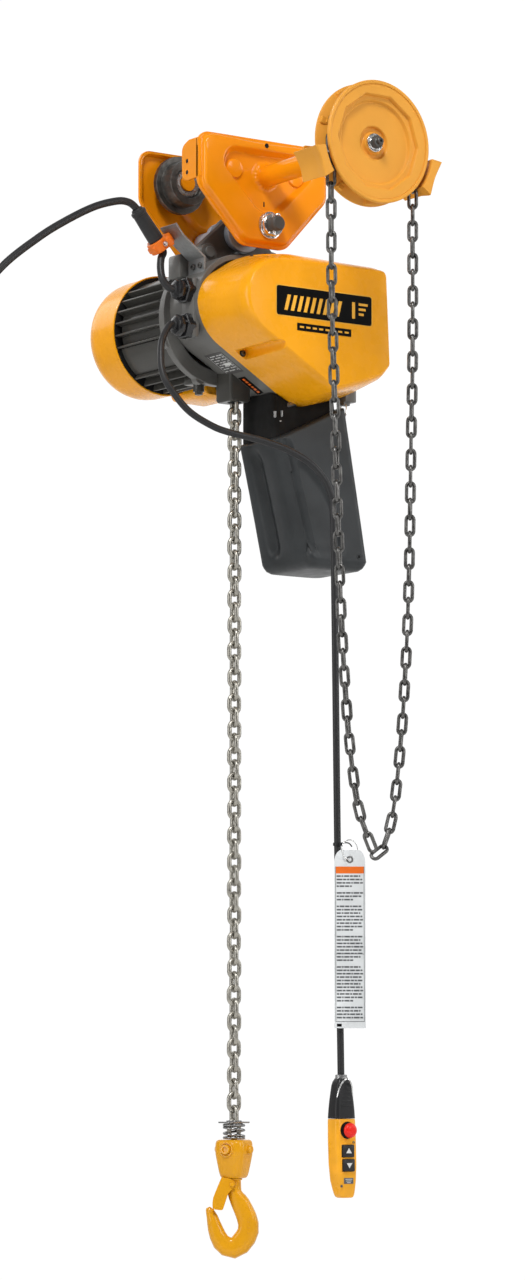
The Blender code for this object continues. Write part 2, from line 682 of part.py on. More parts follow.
def controller_cover():
    inner = [cover_ring(y, WALL) for y in (-186.9, -165, -128, -85.1, -84, PARTING_Y)]
    inner[0] = [Vector((p.x, COVER_FACE_Y + WALL, p.z)) for p in inner[0]]
    outer = [cover_ring(y, 0.0) for y in (PARTING_Y, -84, -85.1, -128, -155, -174, -186)]
    last = [Vector((p.x, COVER_FACE_Y, p.z)) for p in cover_ring(-189.99, 0.0)]
    cover = finish("controller_cover", loft(inner + outer + [last]))
    give_material(cover, "yellow")


def inner_works():
    """Motor, reduction and sheave inside the housings."""
    axis = (MOTOR_X, 0, MOTOR_Z)
    profile = [(54, 70), (75.5, 70), (75.5, 140), (54, 140)]
    give_material(finish("stator", lathe(profile, axis, ring=True, segments=28)), "copper")

    profile = [(0, -32), (8, -32), (8, 72), (52, 72), (52, 138), (8, 138), (8, 212), (0, 212)]
    rotor = finish("rotor", lathe(profile, axis, segments=20), pivot=axis)
    to_gear = math.atan2(SHEAVE_Z - MOTOR_Z, SHEAVE_X - MOTOR_X)
    add(rotor, gear_prism(ROTOR_TEETH, LIFT_MODULE, (MOTOR_X, MOTOR_Z), -30, -18,
                          to_gear + math.pi / ROTOR_TEETH))
    give_material(rotor, "dark_steel")

    fan = finish("fan", lathe([(8.3, 190), (62, 190), (62, 193), (16, 193), (14, 208), (8.3, 208)], axis,
                              ring=True, segments=20), pivot=axis)
    blades = []
    for i in range(6):
        turn = Matrix.Rotation(math.pi * i / 3, 4, "Y")
        middle = Vector(axis) + turn @ Vector((36, 199, 0))
        blades.append(box(middle, (44, 13, 2.5), turn))
    add(fan, *blades)
    give_material(fan, "black")

    sheave_axis = (SHEAVE_X, 0, SHEAVE_Z)
    profile = [(0, -35), (8, -35), (8, -12), (31, -12), (31, -7), (24, -4), (24, 4), (31, 7), (31, 12), (8,
                                                                                                         12),
               (8, 18), (0, 18)]
    give_material(finish("load_sheave", lathe(profile, sheave_axis, segments=20), pivot=sheave_axis),
                  "dark_steel")
    gear = finish("load_gear", gear_prism(LOAD_TEETH, LIFT_MODULE, (SHEAVE_X, SHEAVE_Z), -30, -18,
                                          to_gear + math.pi), pivot=sheave_axis)
    cut(gear, cylinder((SHEAVE_X, -24, SHEAVE_Z), 8.3, 40, segments=16))
    give_material(gear, "dark_steel")

    board = finish("control_board", box((45, -100, -200), (140, 3, 104)))
    parts = [box((x, -112, z), size) for x, z, size in (
        (5, -178, (44, 26, 56)), (65, -178, (44, 26, 56)), (60, -232, (90, 26, 30)))]
    add(board, *parts)
    give_material(board, "green")


def oil_plug():
    profile = [(0, -338), (5, -338), (6, -335), (12, -335), (12, -331.5), (0, -331.5)]
    give_material(finish("oil_plug", lathe(profile, (84, -40, 0), "z", 12)), "zinc")


def gland(name, z):
    profile = [(7.5, -116.3), (17, -116.3), (17, -125), (13, -126), (13, -131), (7.5, -131)]
    centre = (0, GLAND_Y, z)
    body = finish(name, lathe([(r, x) for r, x in profile], centre, "x", 6, ring=True), smooth=False)
    add(body, lathe([(7.5, -128), (15, -128), (15, -139), (11, -141), (7.5, -141)], centre, "x", 14,
                    ring=True))
    give_material(body, "black")


def container():
    """Bag-shaped chain container that leans outwards, with a set-back neck under the hoist frame."""

    def section(x0, x1, y0, y1, radius, z_at):
        outline = rounded(((x0, y0, radius), (x1, y0, radius), (x1, y1, radius), (x0, y1, radius)), 3)
        return [Vector((p.x, p.y, z_at(p.x))) for p in outline]

    def lip(x):
        return -336.0 - max(0.0, (118.0 - x) * 0.48)

    def flat(z):
        return lambda x: z

    def skin(s):
        return [
            section(34 + s, 140 - s, -62 + s, 28 - s, 12, flat(-334.0)),
            section(34 + s, 144 - s, -66 + s, 30 - s, 12, lambda x: lip(x) - 6.0 - s),
            section(28 + s, 154 - s, -95 + s, 31 - s, 10, lambda x: lip(x) - 10.0 - s),
            section(81 + s, 197 - s, -95 + s, 45 - s, 10, flat(-574.0)),
            section(86 + s, 193 - s, -90 + s, 40 - s, 12, flat(-586.0 + s)),
            section(96 + s, 184 - s, -80 + s, 30 - s, 12, flat(-591.0 + s)),
        ]

    wall = 2.4
    bag = finish("chain_container", loft(list(reversed(skin(wall))) + skin(0.0)))
    give_material(bag, "container")


# ---------------------------------------------------------------- hook set


def hook_space(u, v, z):
    """Point in the plane of the hook (u sideways, v across) at a height above its lowest point."""
    return Vector((
        u * math.cos(HOOK_TURN) - v * math.sin(HOOK_TURN),
        u * math.sin(HOOK_TURN) + v * math.cos(HOOK_TURN),
        HOOK_BOTTOM_Z + z,
    ))


def hook_slab(outline, v0, v1):
    return loft([[hook_space(p.x, v, p.y) for p in outline] for v in (v0, v1)])


def hook():
    rings = []
    sides = 10
    spots = [Vector(spot[:2]) for spot in HOOK_PATH]
    for i, (u, z, width, depth) in enumerate(HOOK_PATH):
        ahead = spots[min(i + 1, len(spots) - 1)]
        behind = spots[max(i - 1, 0)]
        along = (ahead - behind).normalized()
        across = Vector((-along.y, along.x))
        ring = []
        for k in range(sides):
            turn = 2 * math.pi * k / sides
            a = width * math.cos(turn)
            b = depth * math.sin(turn)
            ring.append(hook_space(u + across.x * a, b, z + across.y * a))
        rings.append(ring)
    tip = [hook_space(-41, 0, 81.5) + (p - hook_space(*HOOK_PATH[-1][:1], 0, HOOK_PATH[-1][1])) * 0.4
           for p in rings[-1]]
    body = finish("hook", loft(rings + [tip]))
    collar = lathe([(10, 120), (10, 139), (15, 139), (15, 149), (0, 149)], (0, 0, HOOK_BOTTOM_Z), "z", 20)
    add(body, collar)
    u, z = LATCH_PIVOT
    cut(body, hook_slab(rounded(((u - 2.8, z - 2.8, 2), (u + 2.8, z - 2.8, 2), (u + 2.8, z + 2.8, 2),
                                 (u - 2.8, z + 2.8, 2)), 2), -20, 20))
    give_material(body, "yellow")


def hook_latch():
    corners = ((-21, 126, 3), (-2, 126, 7), (4, 118, 5), (-4, 108, 4), (-11, 103, 4), (-20, 75, 3), (-33,
                                                                                                     77, 3),
               (-33.5, 95, 8))
    outline = rounded(corners, 2)
    pivot = hook_space(LATCH_PIVOT[0], 0, LATCH_PIVOT[1])
    latch = finish("hook_latch", hook_slab(outline, -14.8, 14.8), pivot=pivot)
    hollow = ((-19, 140, 2), (20, 140, 2), (20, 60, 2), (-30, 60, 2), (-31, 94, 7))
    pin_hole = rounded(((-5.4, 113.6, 2), (-0.6, 113.6, 2), (-0.6, 118.4, 2), (-5.4, 118.4, 2)), 2)
    cut(latch, hook_slab(rounded(hollow, 2), -12.8, 12.8), hook_slab(pin_hole, -20, 20))
    give_material(latch, "yellow")
    pin = lathe([(0, -16.5), (3.6, -16.5), (3.6, -15.1), (2.0, -15.1), (2.0, 15.1), (3.6, 15.1), (3.6,
                                                                                                  16.5),
                 (0, 16.5)], (0, 0, 0), "z", 10)
    across = hook_space(0, 1, 0) - hook_space(0, 0, 0)
    give_material(finish("latch_pin", aim(pin, pivot, across)), "dark_steel")


def hook_block():
    def section(half, z):
        r = half * 0.55
        outline = rounded(((-half, -half, r), (half, -half, r), (half, half, r), (-half, half, r)), 3)
        turn = Matrix.Rotation(YOKE_TURN, 2)
        return [Vector((*(turn @ p), z)) for p in outline]

    rings = [section(22.5, YOKE_TOP_Z), section(25, YOKE_TOP_Z - 4), section(25.5, YOKE_TOP_Z - 18),
             section(20, YOKE_BOTTOM_Z + 8), section(17, YOKE_BOTTOM_Z)]
    yoke = finish("hook_yoke", loft(rings))
    bore = [(10.4, -1560), (10.4, -1543.4), (15.4, -1543.4), (15.4, -1532.5), (0, -1532.5)]
    front = Vector((-math.cos(YOKE_TURN), -math.sin(YOKE_TURN), 0))
    side = Vector((-front.y, front.x, 0))
    spot = (0, 0, YOKE_TOP_Z - 15)
    cut(yoke, lathe(bore, (0, 0, 0), "z", 20),
        aim(lathe([(4.3, -50), (4.3, 50)], (0, 0, 0), "z", 12), spot, side),
        aim(lathe([(4.3, 11.5), (4.3, 40)], (0, 0, 0), "z", 12), spot, front))
    give_material(yoke, "yellow")
    pin = [(0, -32), (5, -32), (6.5, -30.5), (6.5, -25.8), (4, -25.8), (4, 25.8), (6.5, 25.8), (6.5, 30.5),
           (5, 32),
           (0, 32)]
    give_material(finish("chain_pin", aim(lathe(pin, (0, 0, 0), "z", 12), spot, side)), "yellow")
    bolt = [(0, 12), (4, 12), (4, 25.8), (7, 25.8), (7, 29.5), (6, 31), (0, 31)]
    give_material(finish("yoke_bolt", aim(lathe(bolt, (0, 0, 0), "z", 12), spot, front)), "yellow")


def spring_and_plate():
    plate = finish("limit_plate", box((0, 0, LIMIT_PLATE_Z), (42, 32, 2.5)))
    cut(plate, cylinder((0, 0, LIMIT_PLATE_Z), 9.5, 10, "z", 16))
    give_material(plate, "zinc")
    top = LIMIT_PLATE_Z - 1.25 - GAP - 1.9
    bottom = YOKE_TOP_Z + GAP + 1.9
    rings = []
    steps = 35
    for i in range(steps + 1):
        turn = 2 * math.pi * 3.5 * i / steps
        z = top + (bottom - top) * i / steps
        out = Vector((math.cos(turn), math.sin(turn), 0))
        middle = out * 16.0 + Vector((0, 0, z))
        ring = []
        for k in range(5):
            angle = 2 * math.pi * k / 5
            ring.append(middle + out * 1.9 * math.cos(angle) + Vector((0, 0, 1.9 * math.sin(angle))))
        rings.append(ring)
    give_material(finish("chain_spring", loft(rings)), "nickel")
    chain = lathe([(LOAD_CHAIN_RADIUS, -247), (LOAD_CHAIN_RADIUS, YOKE_TOP_Z + GAP)], (0, 0, 0), "z", 12)
    give_material(finish("load_chain", chain), "nickel")


# ---------------------------------------------------------------- cables and pendant


def cable_support():
    route = [Vector(p) for p in POWER_ROUTE[:3]]
    along = (route[2] - route[0]).normalized()
    normal = Vector((along.z, 0, -along.x))
    middle = route[0] - along * 6
    strip = ((-99, -129), (-99, -105), (-139.5, -75), (-153.5, -58), (-151.2, -56.2), (-137.6, -72.6),
             (-96, -103.4), (-96, -129))
    outline = [Vector(p) for p in strip]
    bracket = finish("cable_bracket", loft([at_y(outline, -58.0), at_y(outline, -14.0)]), smooth=False)
    give_material(bracket, "zinc")
    clamp = finish("cable_clamp", aim(lathe([(18, -9), (18, 9)], (0, 0, 0), "z", 20), middle, along))
    ear = aim(box((0, 0, 0), (14, 26, 18)), middle + normal * 15.5, along)
    add(clamp, ear)
    cut(clamp, aim(lathe([(8.5, -40), (8.5, 40)], (0, 0, 0), "z", 16), middle, along))
    give_material(clamp, "orange")
    profile = [(8, 0), (11.5, 0), (11.5, 44), (10, 46), (10, 49), (11, 50), (11, 53), (9.6, 55), (9.6, 58),
               (8, 58)]
    sleeve = finish("cable_sleeve", aim(lathe(profile, (0, 0, 0), "z", 16, ring=True), middle + along * 9.4,
                                        along))
    give_material(sleeve, "rubber")


def power_plug():
    x, y, z = POWER_ROUTE[-1]
    profile = [(0, z - GAP), (9, z - GAP), (11, z - 25), (19, z - 34), (21, z - 66), (0, z - 66)]
    plug = finish("power_plug", lathe([(r, along) for r, along in profile], (x, y, 0), "z", 20))
    blades = [box((x + dx, y, z - 75), (2, 7, 20)) for dx in (-7, 7)]
    add(plug, *blades, cylinder((x, y + 9, z - 76), 2.5, 22, "z", 10))
    give_material(plug, "rubber")


def pendant_section(z, half_x, half_y, lean=0.0):
    x, y = PENDANT_X + lean, PENDANT_Y
    r = min(half_x, half_y) * 0.5
    outline = rounded(((x - half_x, y - half_y, r), (x + half_x, y - half_y, r), (x + half_x, y + half_y,
                                                                                  r),
                       (x - half_x, y + half_y, r)), 3)
    return at_z(outline, z)


def pendant():
    top = [pendant_section(z, hx, hy) for z, hx, hy in (
        (PENDANT_TOP_Z - GAP, 8, 8), (PENDANT_TOP_Z - 3, 10.5, 10), (PENDANT_TOP_Z - 30, 13.5, 12.5),
        (PENDANT_SEAM_Z, 16.5, 14))]
    give_material(finish("pendant_top", loft(top)), "black")
    low = [pendant_section(z, hx, hy, lean) for z, hx, hy, lean in (
        (PENDANT_SEAM_Z - GAP, 17, 14.5, 0), (PENDANT_SEAM_Z - 70, 18, 15, 2), (PENDANT_SEAM_Z - 100, 17,
                                                                                14.5, 3),
        (PENDANT_BOTTOM_Z + 6, 13.5, 12.5, 5), (PENDANT_BOTTOM_Z, 10, 10, 5.5))]
    case = finish("pendant_body", loft(low))
    face = PENDANT_Y - 14.5
    keys = (("up_button", -1512.0, 1.0), ("down_button", -1534.0, 2.0))
    pockets = [box((PENDANT_X + dx, face, z), (23.0, 16, 19.6)) for key, z, dx in keys]
    pockets.append(cylinder((PENDANT_X, face, -1480), 5.4, 24, segments=14))
    cut(case, *pockets)
    give_material(case, "yellow")
    for name, z, dx in keys:
        y0, y1 = face - 4.0, face + 4.0
        key = finish(name, box((PENDANT_X + dx, (y0 + y1) / 2, z), (22.2, y1 - y0, 18.8)),
                     pivot=(PENDANT_X + dx, y0, z), smooth=False)
        give_material(key, "black")
    profile = [(0, face - 15), (7, face - 14.5), (11, face - 12), (11.5, face - 8), (9, face - 5.5), (5,
                                                                                                      face - 5.5),
               (5, face + 6), (0, face + 6)]
    stop = finish("stop_button", lathe(profile, (PENDANT_X, 0, -1480), segments=18),
                  pivot=(PENDANT_X, face - 15, -1480))
    give_material(stop, "red")


def tag():
    """Card that hangs from a ring beside the pendant cable."""
    turn = Matrix.Rotation(HOOK_TURN, 4, "Z")
    middle = Vector((102.4, -170.3, -1186.0))
    card = finish("tag", box(middle, (49, 1.2, 284), turn), smooth=False)
    hole = middle + Vector((0, 0, 134))
    across = turn @ Vector((0, 1, 0))
    cut(card, aim(lathe([(3.8, -20), (3.8, 20)], (0, 0, 0), "z", 12), hole, across))
    give_material(card, "white")
    rings = []
    ring_centre = hole + Vector((0, 0, 12.6))
    for i in range(18):
        turn_angle = 2 * math.pi * i / 18
        out = Vector((math.cos(turn_angle), 0, math.sin(turn_angle)))
        spot = ring_centre + out * 13.0
        rings.append([spot + out * math.cos(a) + Vector((0, math.sin(a), 0))
                      for a in (math.pi / 2 * k for k in range(4))])
    give_material(finish("tag_ring", loft(rings, closed_tube=True)), "nickel")


def main():
    clear_scene()
    side_plate("side_plate_front", -1)
    side_plate("side_plate_rear", 1)
    for row, side in (("front", -1), ("rear", 1)):
        for end, x in (("left", -AXLE_X), ("right", AXLE_X)):
            track_wheel("wheel_" + row + "_" + end, x, side)
            wheel_axle("axle_" + row + "_" + end, x, side)
    suspension()
    hand_drive()
    chain_guide()
    hand_chain()
    suspender()
    hoist_frame()
    motor_frame()
    rear_cover()
    controller_cover()
    inner_works()
    oil_plug()
    gland("power_gland", POWER_GLAND_Z)
    gland("pendant_gland", PENDANT_GLAND_Z)
    container()
    hook_block()
    hook()
    hook_latch()
    spring_and_plate()
    cable_support()
    cord("power_cable", GLAND_ROUTE + POWER_ROUTE, POWER_CABLE_RADIUS, "rubber")
    power_plug()
    cord("pendant_cable", PENDANT_ROUTE, PENDANT_CABLE_RADIUS, "rubber")
    pendant()
    tag()


main()
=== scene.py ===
"""Looks of the electric chain hoist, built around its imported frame.

All shape functions work in millimetres in the frame's axes (X along the beam, -Y towards the
hand wheel, +Z up); show() turns a shape into an object in metres.
"""
import math

import bmesh
import bpy
from mathutils import Matrix, Vector


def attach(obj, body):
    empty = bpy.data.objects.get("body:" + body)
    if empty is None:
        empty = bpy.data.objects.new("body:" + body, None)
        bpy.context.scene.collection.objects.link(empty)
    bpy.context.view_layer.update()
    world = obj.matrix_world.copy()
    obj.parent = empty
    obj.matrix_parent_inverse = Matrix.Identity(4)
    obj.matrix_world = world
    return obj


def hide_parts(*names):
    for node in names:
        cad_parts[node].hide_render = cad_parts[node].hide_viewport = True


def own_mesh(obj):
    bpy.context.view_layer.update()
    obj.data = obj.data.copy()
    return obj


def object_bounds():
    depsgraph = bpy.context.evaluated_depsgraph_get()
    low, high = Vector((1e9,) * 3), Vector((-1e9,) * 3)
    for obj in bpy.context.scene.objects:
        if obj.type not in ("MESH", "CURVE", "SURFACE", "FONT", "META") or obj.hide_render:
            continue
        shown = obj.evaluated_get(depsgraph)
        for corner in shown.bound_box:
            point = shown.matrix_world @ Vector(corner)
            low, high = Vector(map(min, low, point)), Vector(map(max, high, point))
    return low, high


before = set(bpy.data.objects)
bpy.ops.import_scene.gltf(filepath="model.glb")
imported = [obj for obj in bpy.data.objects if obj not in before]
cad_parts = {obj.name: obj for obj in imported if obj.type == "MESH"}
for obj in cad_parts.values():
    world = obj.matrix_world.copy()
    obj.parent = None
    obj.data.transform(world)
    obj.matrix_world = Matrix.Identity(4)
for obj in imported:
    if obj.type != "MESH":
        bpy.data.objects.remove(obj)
cad_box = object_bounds()

MM = 0.001
UP = Vector((0, 0, 1))


# ---------------------------------------------------------------- camera, light and floor

CAMERA_PLACE = (-3.6043, -5.22575, -1.37123)
CAMERA_PITCH = math.radians(5.994)
CAMERA_YAW = math.radians(35)
CAMERA_LENS = 112.5
BACKDROP_DIRECTION = (0.5704, 0.8146, 0.1044)
BACKDROP_LEVELS = ((0.45, 0.20), (0.70, 0.34), (0.86, 0.62), (0.95, 1))
FLOOR_RADIUS = 4300
FLOOR_DROP = 320
LIGHTS = (
    # name, place, target, size in metres and power in watts
    ("key", (-2.8, -3, 3.6), (0, -0.1, -0.5), (1.1, 1.6), 215),
    ("front", (1.4, -5.2, 1), (0, -0.1, -0.5), (1.6, 3), 80),
    ("side", (3.6, -2.4, 0.2), (0, 0, -0.6), (0.8, 3.2), 40),
    ("back", (-1.2, 3.8, 1.8), (0, 0, -0.5), (2, 2), 22),
    ("left", (-4.2, 0.2, 0), (0, 0, -0.4), (1, 3.4), 54),
)


def camera():
    """Long lens from the lower left of the front, tilted up a little."""
    data = bpy.data.cameras.new("camera")
    data.lens = CAMERA_LENS
    data.sensor_width = 36
    data.clip_end = 60
    obj = bpy.data.objects.new("camera", data)
    obj.location = CAMERA_PLACE
    obj.rotation_euler = (math.pi / 2 + CAMERA_PITCH, 0, -CAMERA_YAW)
    bpy.context.scene.collection.objects.link(obj)
    bpy.context.scene.camera = obj


def area_light(name, place, target, size, power):
    data = bpy.data.lights.new(name, "AREA")
    data.shape = "RECTANGLE"
    data.size, data.size_y = size
    data.energy = power
    obj = bpy.data.objects.new(name, data)
    obj.location = place
    obj.rotation_euler = (Vector(target) - Vector(place)).to_track_quat("-Z", "Y").to_euler()
    bpy.context.scene.collection.objects.link(obj)


def studio():
    """Soft boxes, a world that pales towards the backdrop, and a pale floor well below."""
    scene = bpy.context.scene
    scene.view_settings.view_transform = "Standard"
    world = bpy.data.worlds.new("studio")
    scene.world = world
    world.use_nodes = True
    tree = world.node_tree
    tree.nodes.clear()
    out = tree.nodes.new("ShaderNodeOutputWorld")
    back = tree.nodes.new("ShaderNodeBackground")
    ramp = tree.nodes.new("ShaderNodeValToRGB")
    towards = tree.nodes.new("ShaderNodeVectorMath")
    span = tree.nodes.new("ShaderNodeMapRange")
    place = tree.nodes.new("ShaderNodeTexCoord")
    towards.operation = "DOT_PRODUCT"
    towards.inputs[1].default_value = BACKDROP_DIRECTION
    span.inputs["From Min"].default_value = -1
    stops = ramp.color_ramp.elements
    stops[0].position, stops[0].color = 0, (0.16, 0.16, 0.16, 1)
    stops[1].position, stops[1].color = 1, (1.03, 1.03, 1.03, 1)
    for position, level in BACKDROP_LEVELS:
        stop = stops.new(position)
        stop.color = (level, level, level, 1)
    tree.links.new(place.outputs["Generated"], towards.inputs[0])
    tree.links.new(towards.outputs["Value"], span.inputs["Value"])
    tree.links.new(span.outputs["Result"], ramp.inputs["Fac"])
    tree.links.new(ramp.outputs["Color"], back.inputs["Color"])
    tree.links.new(back.outputs["Background"], out.inputs["Surface"])

    for light in LIGHTS:
        area_light(*light)

    shape = bmesh.new()
    bmesh.ops.create_circle(shape, cap_ends=True, segments=96, radius=FLOOR_RADIUS)
    bmesh.ops.translate(shape, verts=shape.verts, vec=(0, 0, cad_box[0][2] / MM - FLOOR_DROP))
    floor = mesh_object("floor", shape, smooth=None)
    white = bpy.data.materials.new("floor_white")
    white.use_nodes = True
    shader = white.node_tree.nodes["Principled BSDF"]
    shader.inputs["Base Color"].default_value = (0.90, 0.90, 0.895, 1)
    shader.inputs["Roughness"].default_value = 0.7
    floor.data.materials.append(white)


# ---------------------------------------------------------------- materials


class Nodes:
    """Short way to write a node tree round one Principled shader."""

    def __init__(self, name):
        self.material = bpy.data.materials.new(name)
        self.material.use_nodes = True
        self.tree = self.material.node_tree
        self.shader = self.tree.nodes["Principled BSDF"]
        coords = self.tree.nodes.new("ShaderNodeTexCoord")
        self.place = coords.outputs["Object"]

    def set(self, **values):
        for key, value in values.items():
            self.shader.inputs[key.replace("_", " ")].default_value = value

    def link(self, source, target):
        self.tree.links.new(source, target)

    def noise(self, scale, detail=2, rough=0.5, stretch=None):
        node = self.tree.nodes.new("ShaderNodeTexNoise")
        node.inputs["Scale"].default_value = scale
        node.inputs["Detail"].default_value = detail
        node.inputs["Roughness"].default_value = rough
        source = self.scaled(stretch) if stretch else self.place
        self.link(source, node.inputs["Vector"])
        return node.outputs["Fac"]

    def scaled(self, stretch):
        node = self.tree.nodes.new("ShaderNodeMapping")
        node.inputs["Scale"].default_value = stretch
        self.link(self.place, node.inputs["Vector"])
        return node.outputs["Vector"]

    def ramp(self, source, stops):
        node = self.tree.nodes.new("ShaderNodeValToRGB")
        elements = node.color_ramp.elements
        while len(elements) < len(stops):
            elements.new(0.5)
        for element, (position, colour) in zip(elements, stops):
            element.position = position
            element.color = (*colour, 1)
        self.link(source, node.inputs["Fac"])
        return node.outputs["Color"]

    def span(self, source, low_value, high_value):
        node = self.tree.nodes.new("ShaderNodeMapRange")
        node.inputs["From Min"].default_value = 0.3
        node.inputs["From Max"].default_value = 0.7
        node.inputs["To Min"].default_value = low_value
        node.inputs["To Max"].default_value = high_value
        self.link(source, node.inputs["Value"])
        return node.outputs["Result"]

    def bump(self, source, strength, distance, before=None):
        node = self.tree.nodes.new("ShaderNodeBump")
        node.inputs["Strength"].default_value = strength
        node.inputs["Distance"].default_value = distance
        self.link(source, node.inputs["Height"])
        if before:
            self.link(before, node.inputs["Normal"])
        self.link(node.outputs["Normal"], self.shader.inputs["Normal"])
        return node.outputs["Normal"]


def tinted(colour, factor):
    return tuple(min(1, c * factor) for c in colour)


def paint(name, colour, rough=0.3, coat=0.5, peel=0.05, cast=0):
    """Sprayed paint: slight cloudiness, an orange-peel bump and, on castings, a coarser skin."""
    n = Nodes(name)
    cloud = n.noise(14, 3)
    colours = n.ramp(cloud, ((0.35, tinted(colour, 0.965)), (0.65, tinted(colour, 1.03))))
    n.link(colours, n.shader.inputs["Base Color"])
    n.link(n.span(n.noise(60, 3), rough - 0.03, rough + 0.04), n.shader.inputs["Roughness"])
    n.set(Coat_Weight=coat * 0.35, Coat_Roughness=0.05, Specular_IOR_Level=0.20)
    normal = n.bump(n.noise(420, 2), peel, 0.0006)
    if cast:
        n.bump(n.noise(900, 4, 0.7), cast, 0.0005, normal)
    return n.material


def metal(name, colour, rough=0.3, metallic=0.95, grain=0.06, stain=0.75, brushed=None):
    """Plated or bare steel: tarnish in patches, uneven gloss and a fine grain."""
    n = Nodes(name)
    patches = n.noise(90, 5, 0.6)
    colours = n.ramp(patches, ((0.30, tinted(colour, stain)), (0.62, colour),
        (0.80, tinted(colour, 1.12))))
    n.link(colours, n.shader.inputs["Base Color"])
    n.link(n.span(n.noise(240, 3, stretch=brushed), rough - 0.08, rough + 0.14),
        n.shader.inputs["Roughness"])
    n.set(Metallic=metallic)
    n.bump(n.noise(1400, 2, stretch=brushed), grain, 0.0003)
    return n.material


def plastic(name, colour, rough=0.42, grain=0.12, scale=1500, sheen=0, gloss=0.3):
    """Moulded plastic or rubber: fine spark-eroded grain and faint flow marks."""
    n = Nodes(name)
    colours = n.ramp(n.noise(22, 2), ((0.3, tinted(colour, 0.88)), (0.7, tinted(colour, 1.12))))
    n.link(colours, n.shader.inputs["Base Color"])
    n.link(n.span(n.noise(75, 2), rough - 0.04, rough + 0.06), n.shader.inputs["Roughness"])
    n.set(Sheen_Weight=sheen, Specular_IOR_Level=gloss)
    n.bump(n.noise(scale, 2), grain, 0.0002)
    return n.material


MATERIALS = {"yellow": paint("yellow_paint", (0.90, 0.375, 0.006), 0.27, 0.6, 0.02),
    "wheel_yellow": paint("hand_wheel_paint", (0.76, 0.335, 0.040), 0.46, 0.12, 0.06, 0.10),
    "hook_yellow": paint("hook_paint", (0.74, 0.335, 0.006), 0.28, 0.7, 0.06, 0.06),
    "orange": paint("orange_paint", (0.88, 0.285, 0.004), 0.20, 0.9, 0.02),
    "clamp_orange": plastic("orange_plastic", (0.80, 0.17, 0.010), 0.38),
    "casting": paint("grey_casting_paint", (0.135, 0.132, 0.124), 0.38, 0.5, 0.08, 0.12),
    "motor": paint("motor_housing_paint", (0.058, 0.056, 0.050), 0.34, 0.6, 0.08, 0.12),
    "dark_paint": paint("dark_grey_paint", (0.072, 0.070, 0.066), 0.36, 0.3, 0.06),
    "zinc": metal("zinc_plate", (0.66, 0.68, 0.70), 0.28, 0.92, 0.05, 0.85),
    "bright": metal("bright_steel", (0.80, 0.80, 0.79), 0.17, 1, 0.03, 0.85),
    "dark_steel": metal("oiled_steel", (0.15, 0.145, 0.135), 0.36, 0.85, 0.10, 0.55),
    "spring_steel": metal("spring_steel", (0.34, 0.34, 0.34), 0.24, 0.95, 0.03, 0.7),
    "bare_steel": metal("turned_steel", (0.42, 0.42, 0.42), 0.30, 0.95, 0.06, 0.7),
    "nickel": metal("load_chain_steel", (0.46, 0.44, 0.39), 0.32, 0.95, 0.03, 0.75),
    "chain": metal("hand_chain_steel", (0.17, 0.166, 0.16), 0.34, 0.9, 0.10, 0.35),
    "galvanised": metal("galvanised_sheet", (0.30, 0.31, 0.31), 0.45, 0.7, 0.05, 0.85),
    "spacer_zinc": metal("spacer_plate", (0.50, 0.54, 0.60), 0.40, 0.45, 0.04, 0.85),
    "black": plastic("black_plastic", (0.016, 0.016, 0.017), 0.36),
    "gland_black": plastic("gland_plastic", (0.010, 0.010, 0.011), 0.20, 0.03, gloss=0.6),
    "rubber": plastic("black_rubber", (0.020, 0.020, 0.021), 0.50, 0.2, 900, 0.15),
    "cable": plastic("cable_sheath", (0.022, 0.022, 0.023), 0.40, 0.1, 700),
    "container": plastic("container_plastic", (0.031, 0.034, 0.036), 0.40, 0.03, 1100),
    # hollow: near-black sheets of painted shade, laid where holes, pits, vents, wells and gaps would show
    # only shade
    "hollow": plastic("shadowed_black", (0.006, 0.006, 0.006), 0.8, 0.05),
    "red": plastic("red_plastic", (0.80, 0.018, 0.010), 0.26, 0.05),
    "pendant": plastic("yellow_plastic", (0.87, 0.39, 0.018), 0.30, 0.06),
    "white": plastic("card_white", (0.70, 0.72, 0.73), 0.42, 0.04),
    "print_black": plastic("label_black", (0.003, 0.003, 0.003), 0.4, 0.03, gloss=0.05),
    "print_yellow": plastic("label_yellow", (0.86, 0.42, 0.03), 0.35, 0.03),
    "print_orange": plastic("label_orange", (0.82, 0.16, 0.02), 0.35, 0.03),
    "print_grey": plastic("label_grey", (0.11, 0.115, 0.12), 0.5, 0.03),
    "print_pale": plastic("label_pale", (0.62, 0.62, 0.60), 0.45, 0.03),
    "copper": metal("winding_copper", (0.62, 0.25, 0.09), 0.35, 0.8, 0.2, 0.6, (1, 12, 1)),
    "green": plastic("circuit_green", (0.02, 0.13, 0.05), 0.4)}


# ---------------------------------------------------------------- shape helpers


def mesh_object(name, shape, smooth=32):
    """Turn a shape in millimetres into a linked object in metres."""
    mesh = bpy.data.meshes.new(name)
    bmesh.ops.transform(shape, matrix=Matrix.Scale(MM, 4), verts=shape.verts)
    bmesh.ops.recalc_face_normals(shape, faces=shape.faces)
    shape.to_mesh(mesh)
    shape.free()
    obj = bpy.data.objects.new(name, mesh)
    bpy.context.scene.collection.objects.link(obj)
    if smooth is not None:
        mesh.shade_smooth()
        mesh.set_sharp_from_angle(angle=math.radians(smooth))
    return obj


def show(name, shape, material, body="hoist", replaced=None, bevel=0, smooth=32):
    """One visible piece: its material, its body, the node it stands for, which it hides, and a rounded
    edge.
    """
    obj = mesh_object(name, shape, smooth)
    obj.data.materials.append(MATERIALS[material])
    if bevel:
        round_edges(obj, bevel)
    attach(obj, body)
    if replaced:
        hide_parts(replaced)
    return obj


def round_edges(obj, width):
    modifier = obj.modifiers.new("round_edges", "BEVEL")
    modifier.width = width * MM
    modifier.segments = 2
    modifier.limit_method = "ANGLE"
    modifier.angle_limit = math.radians(40)
    modifier.harden_normals = False


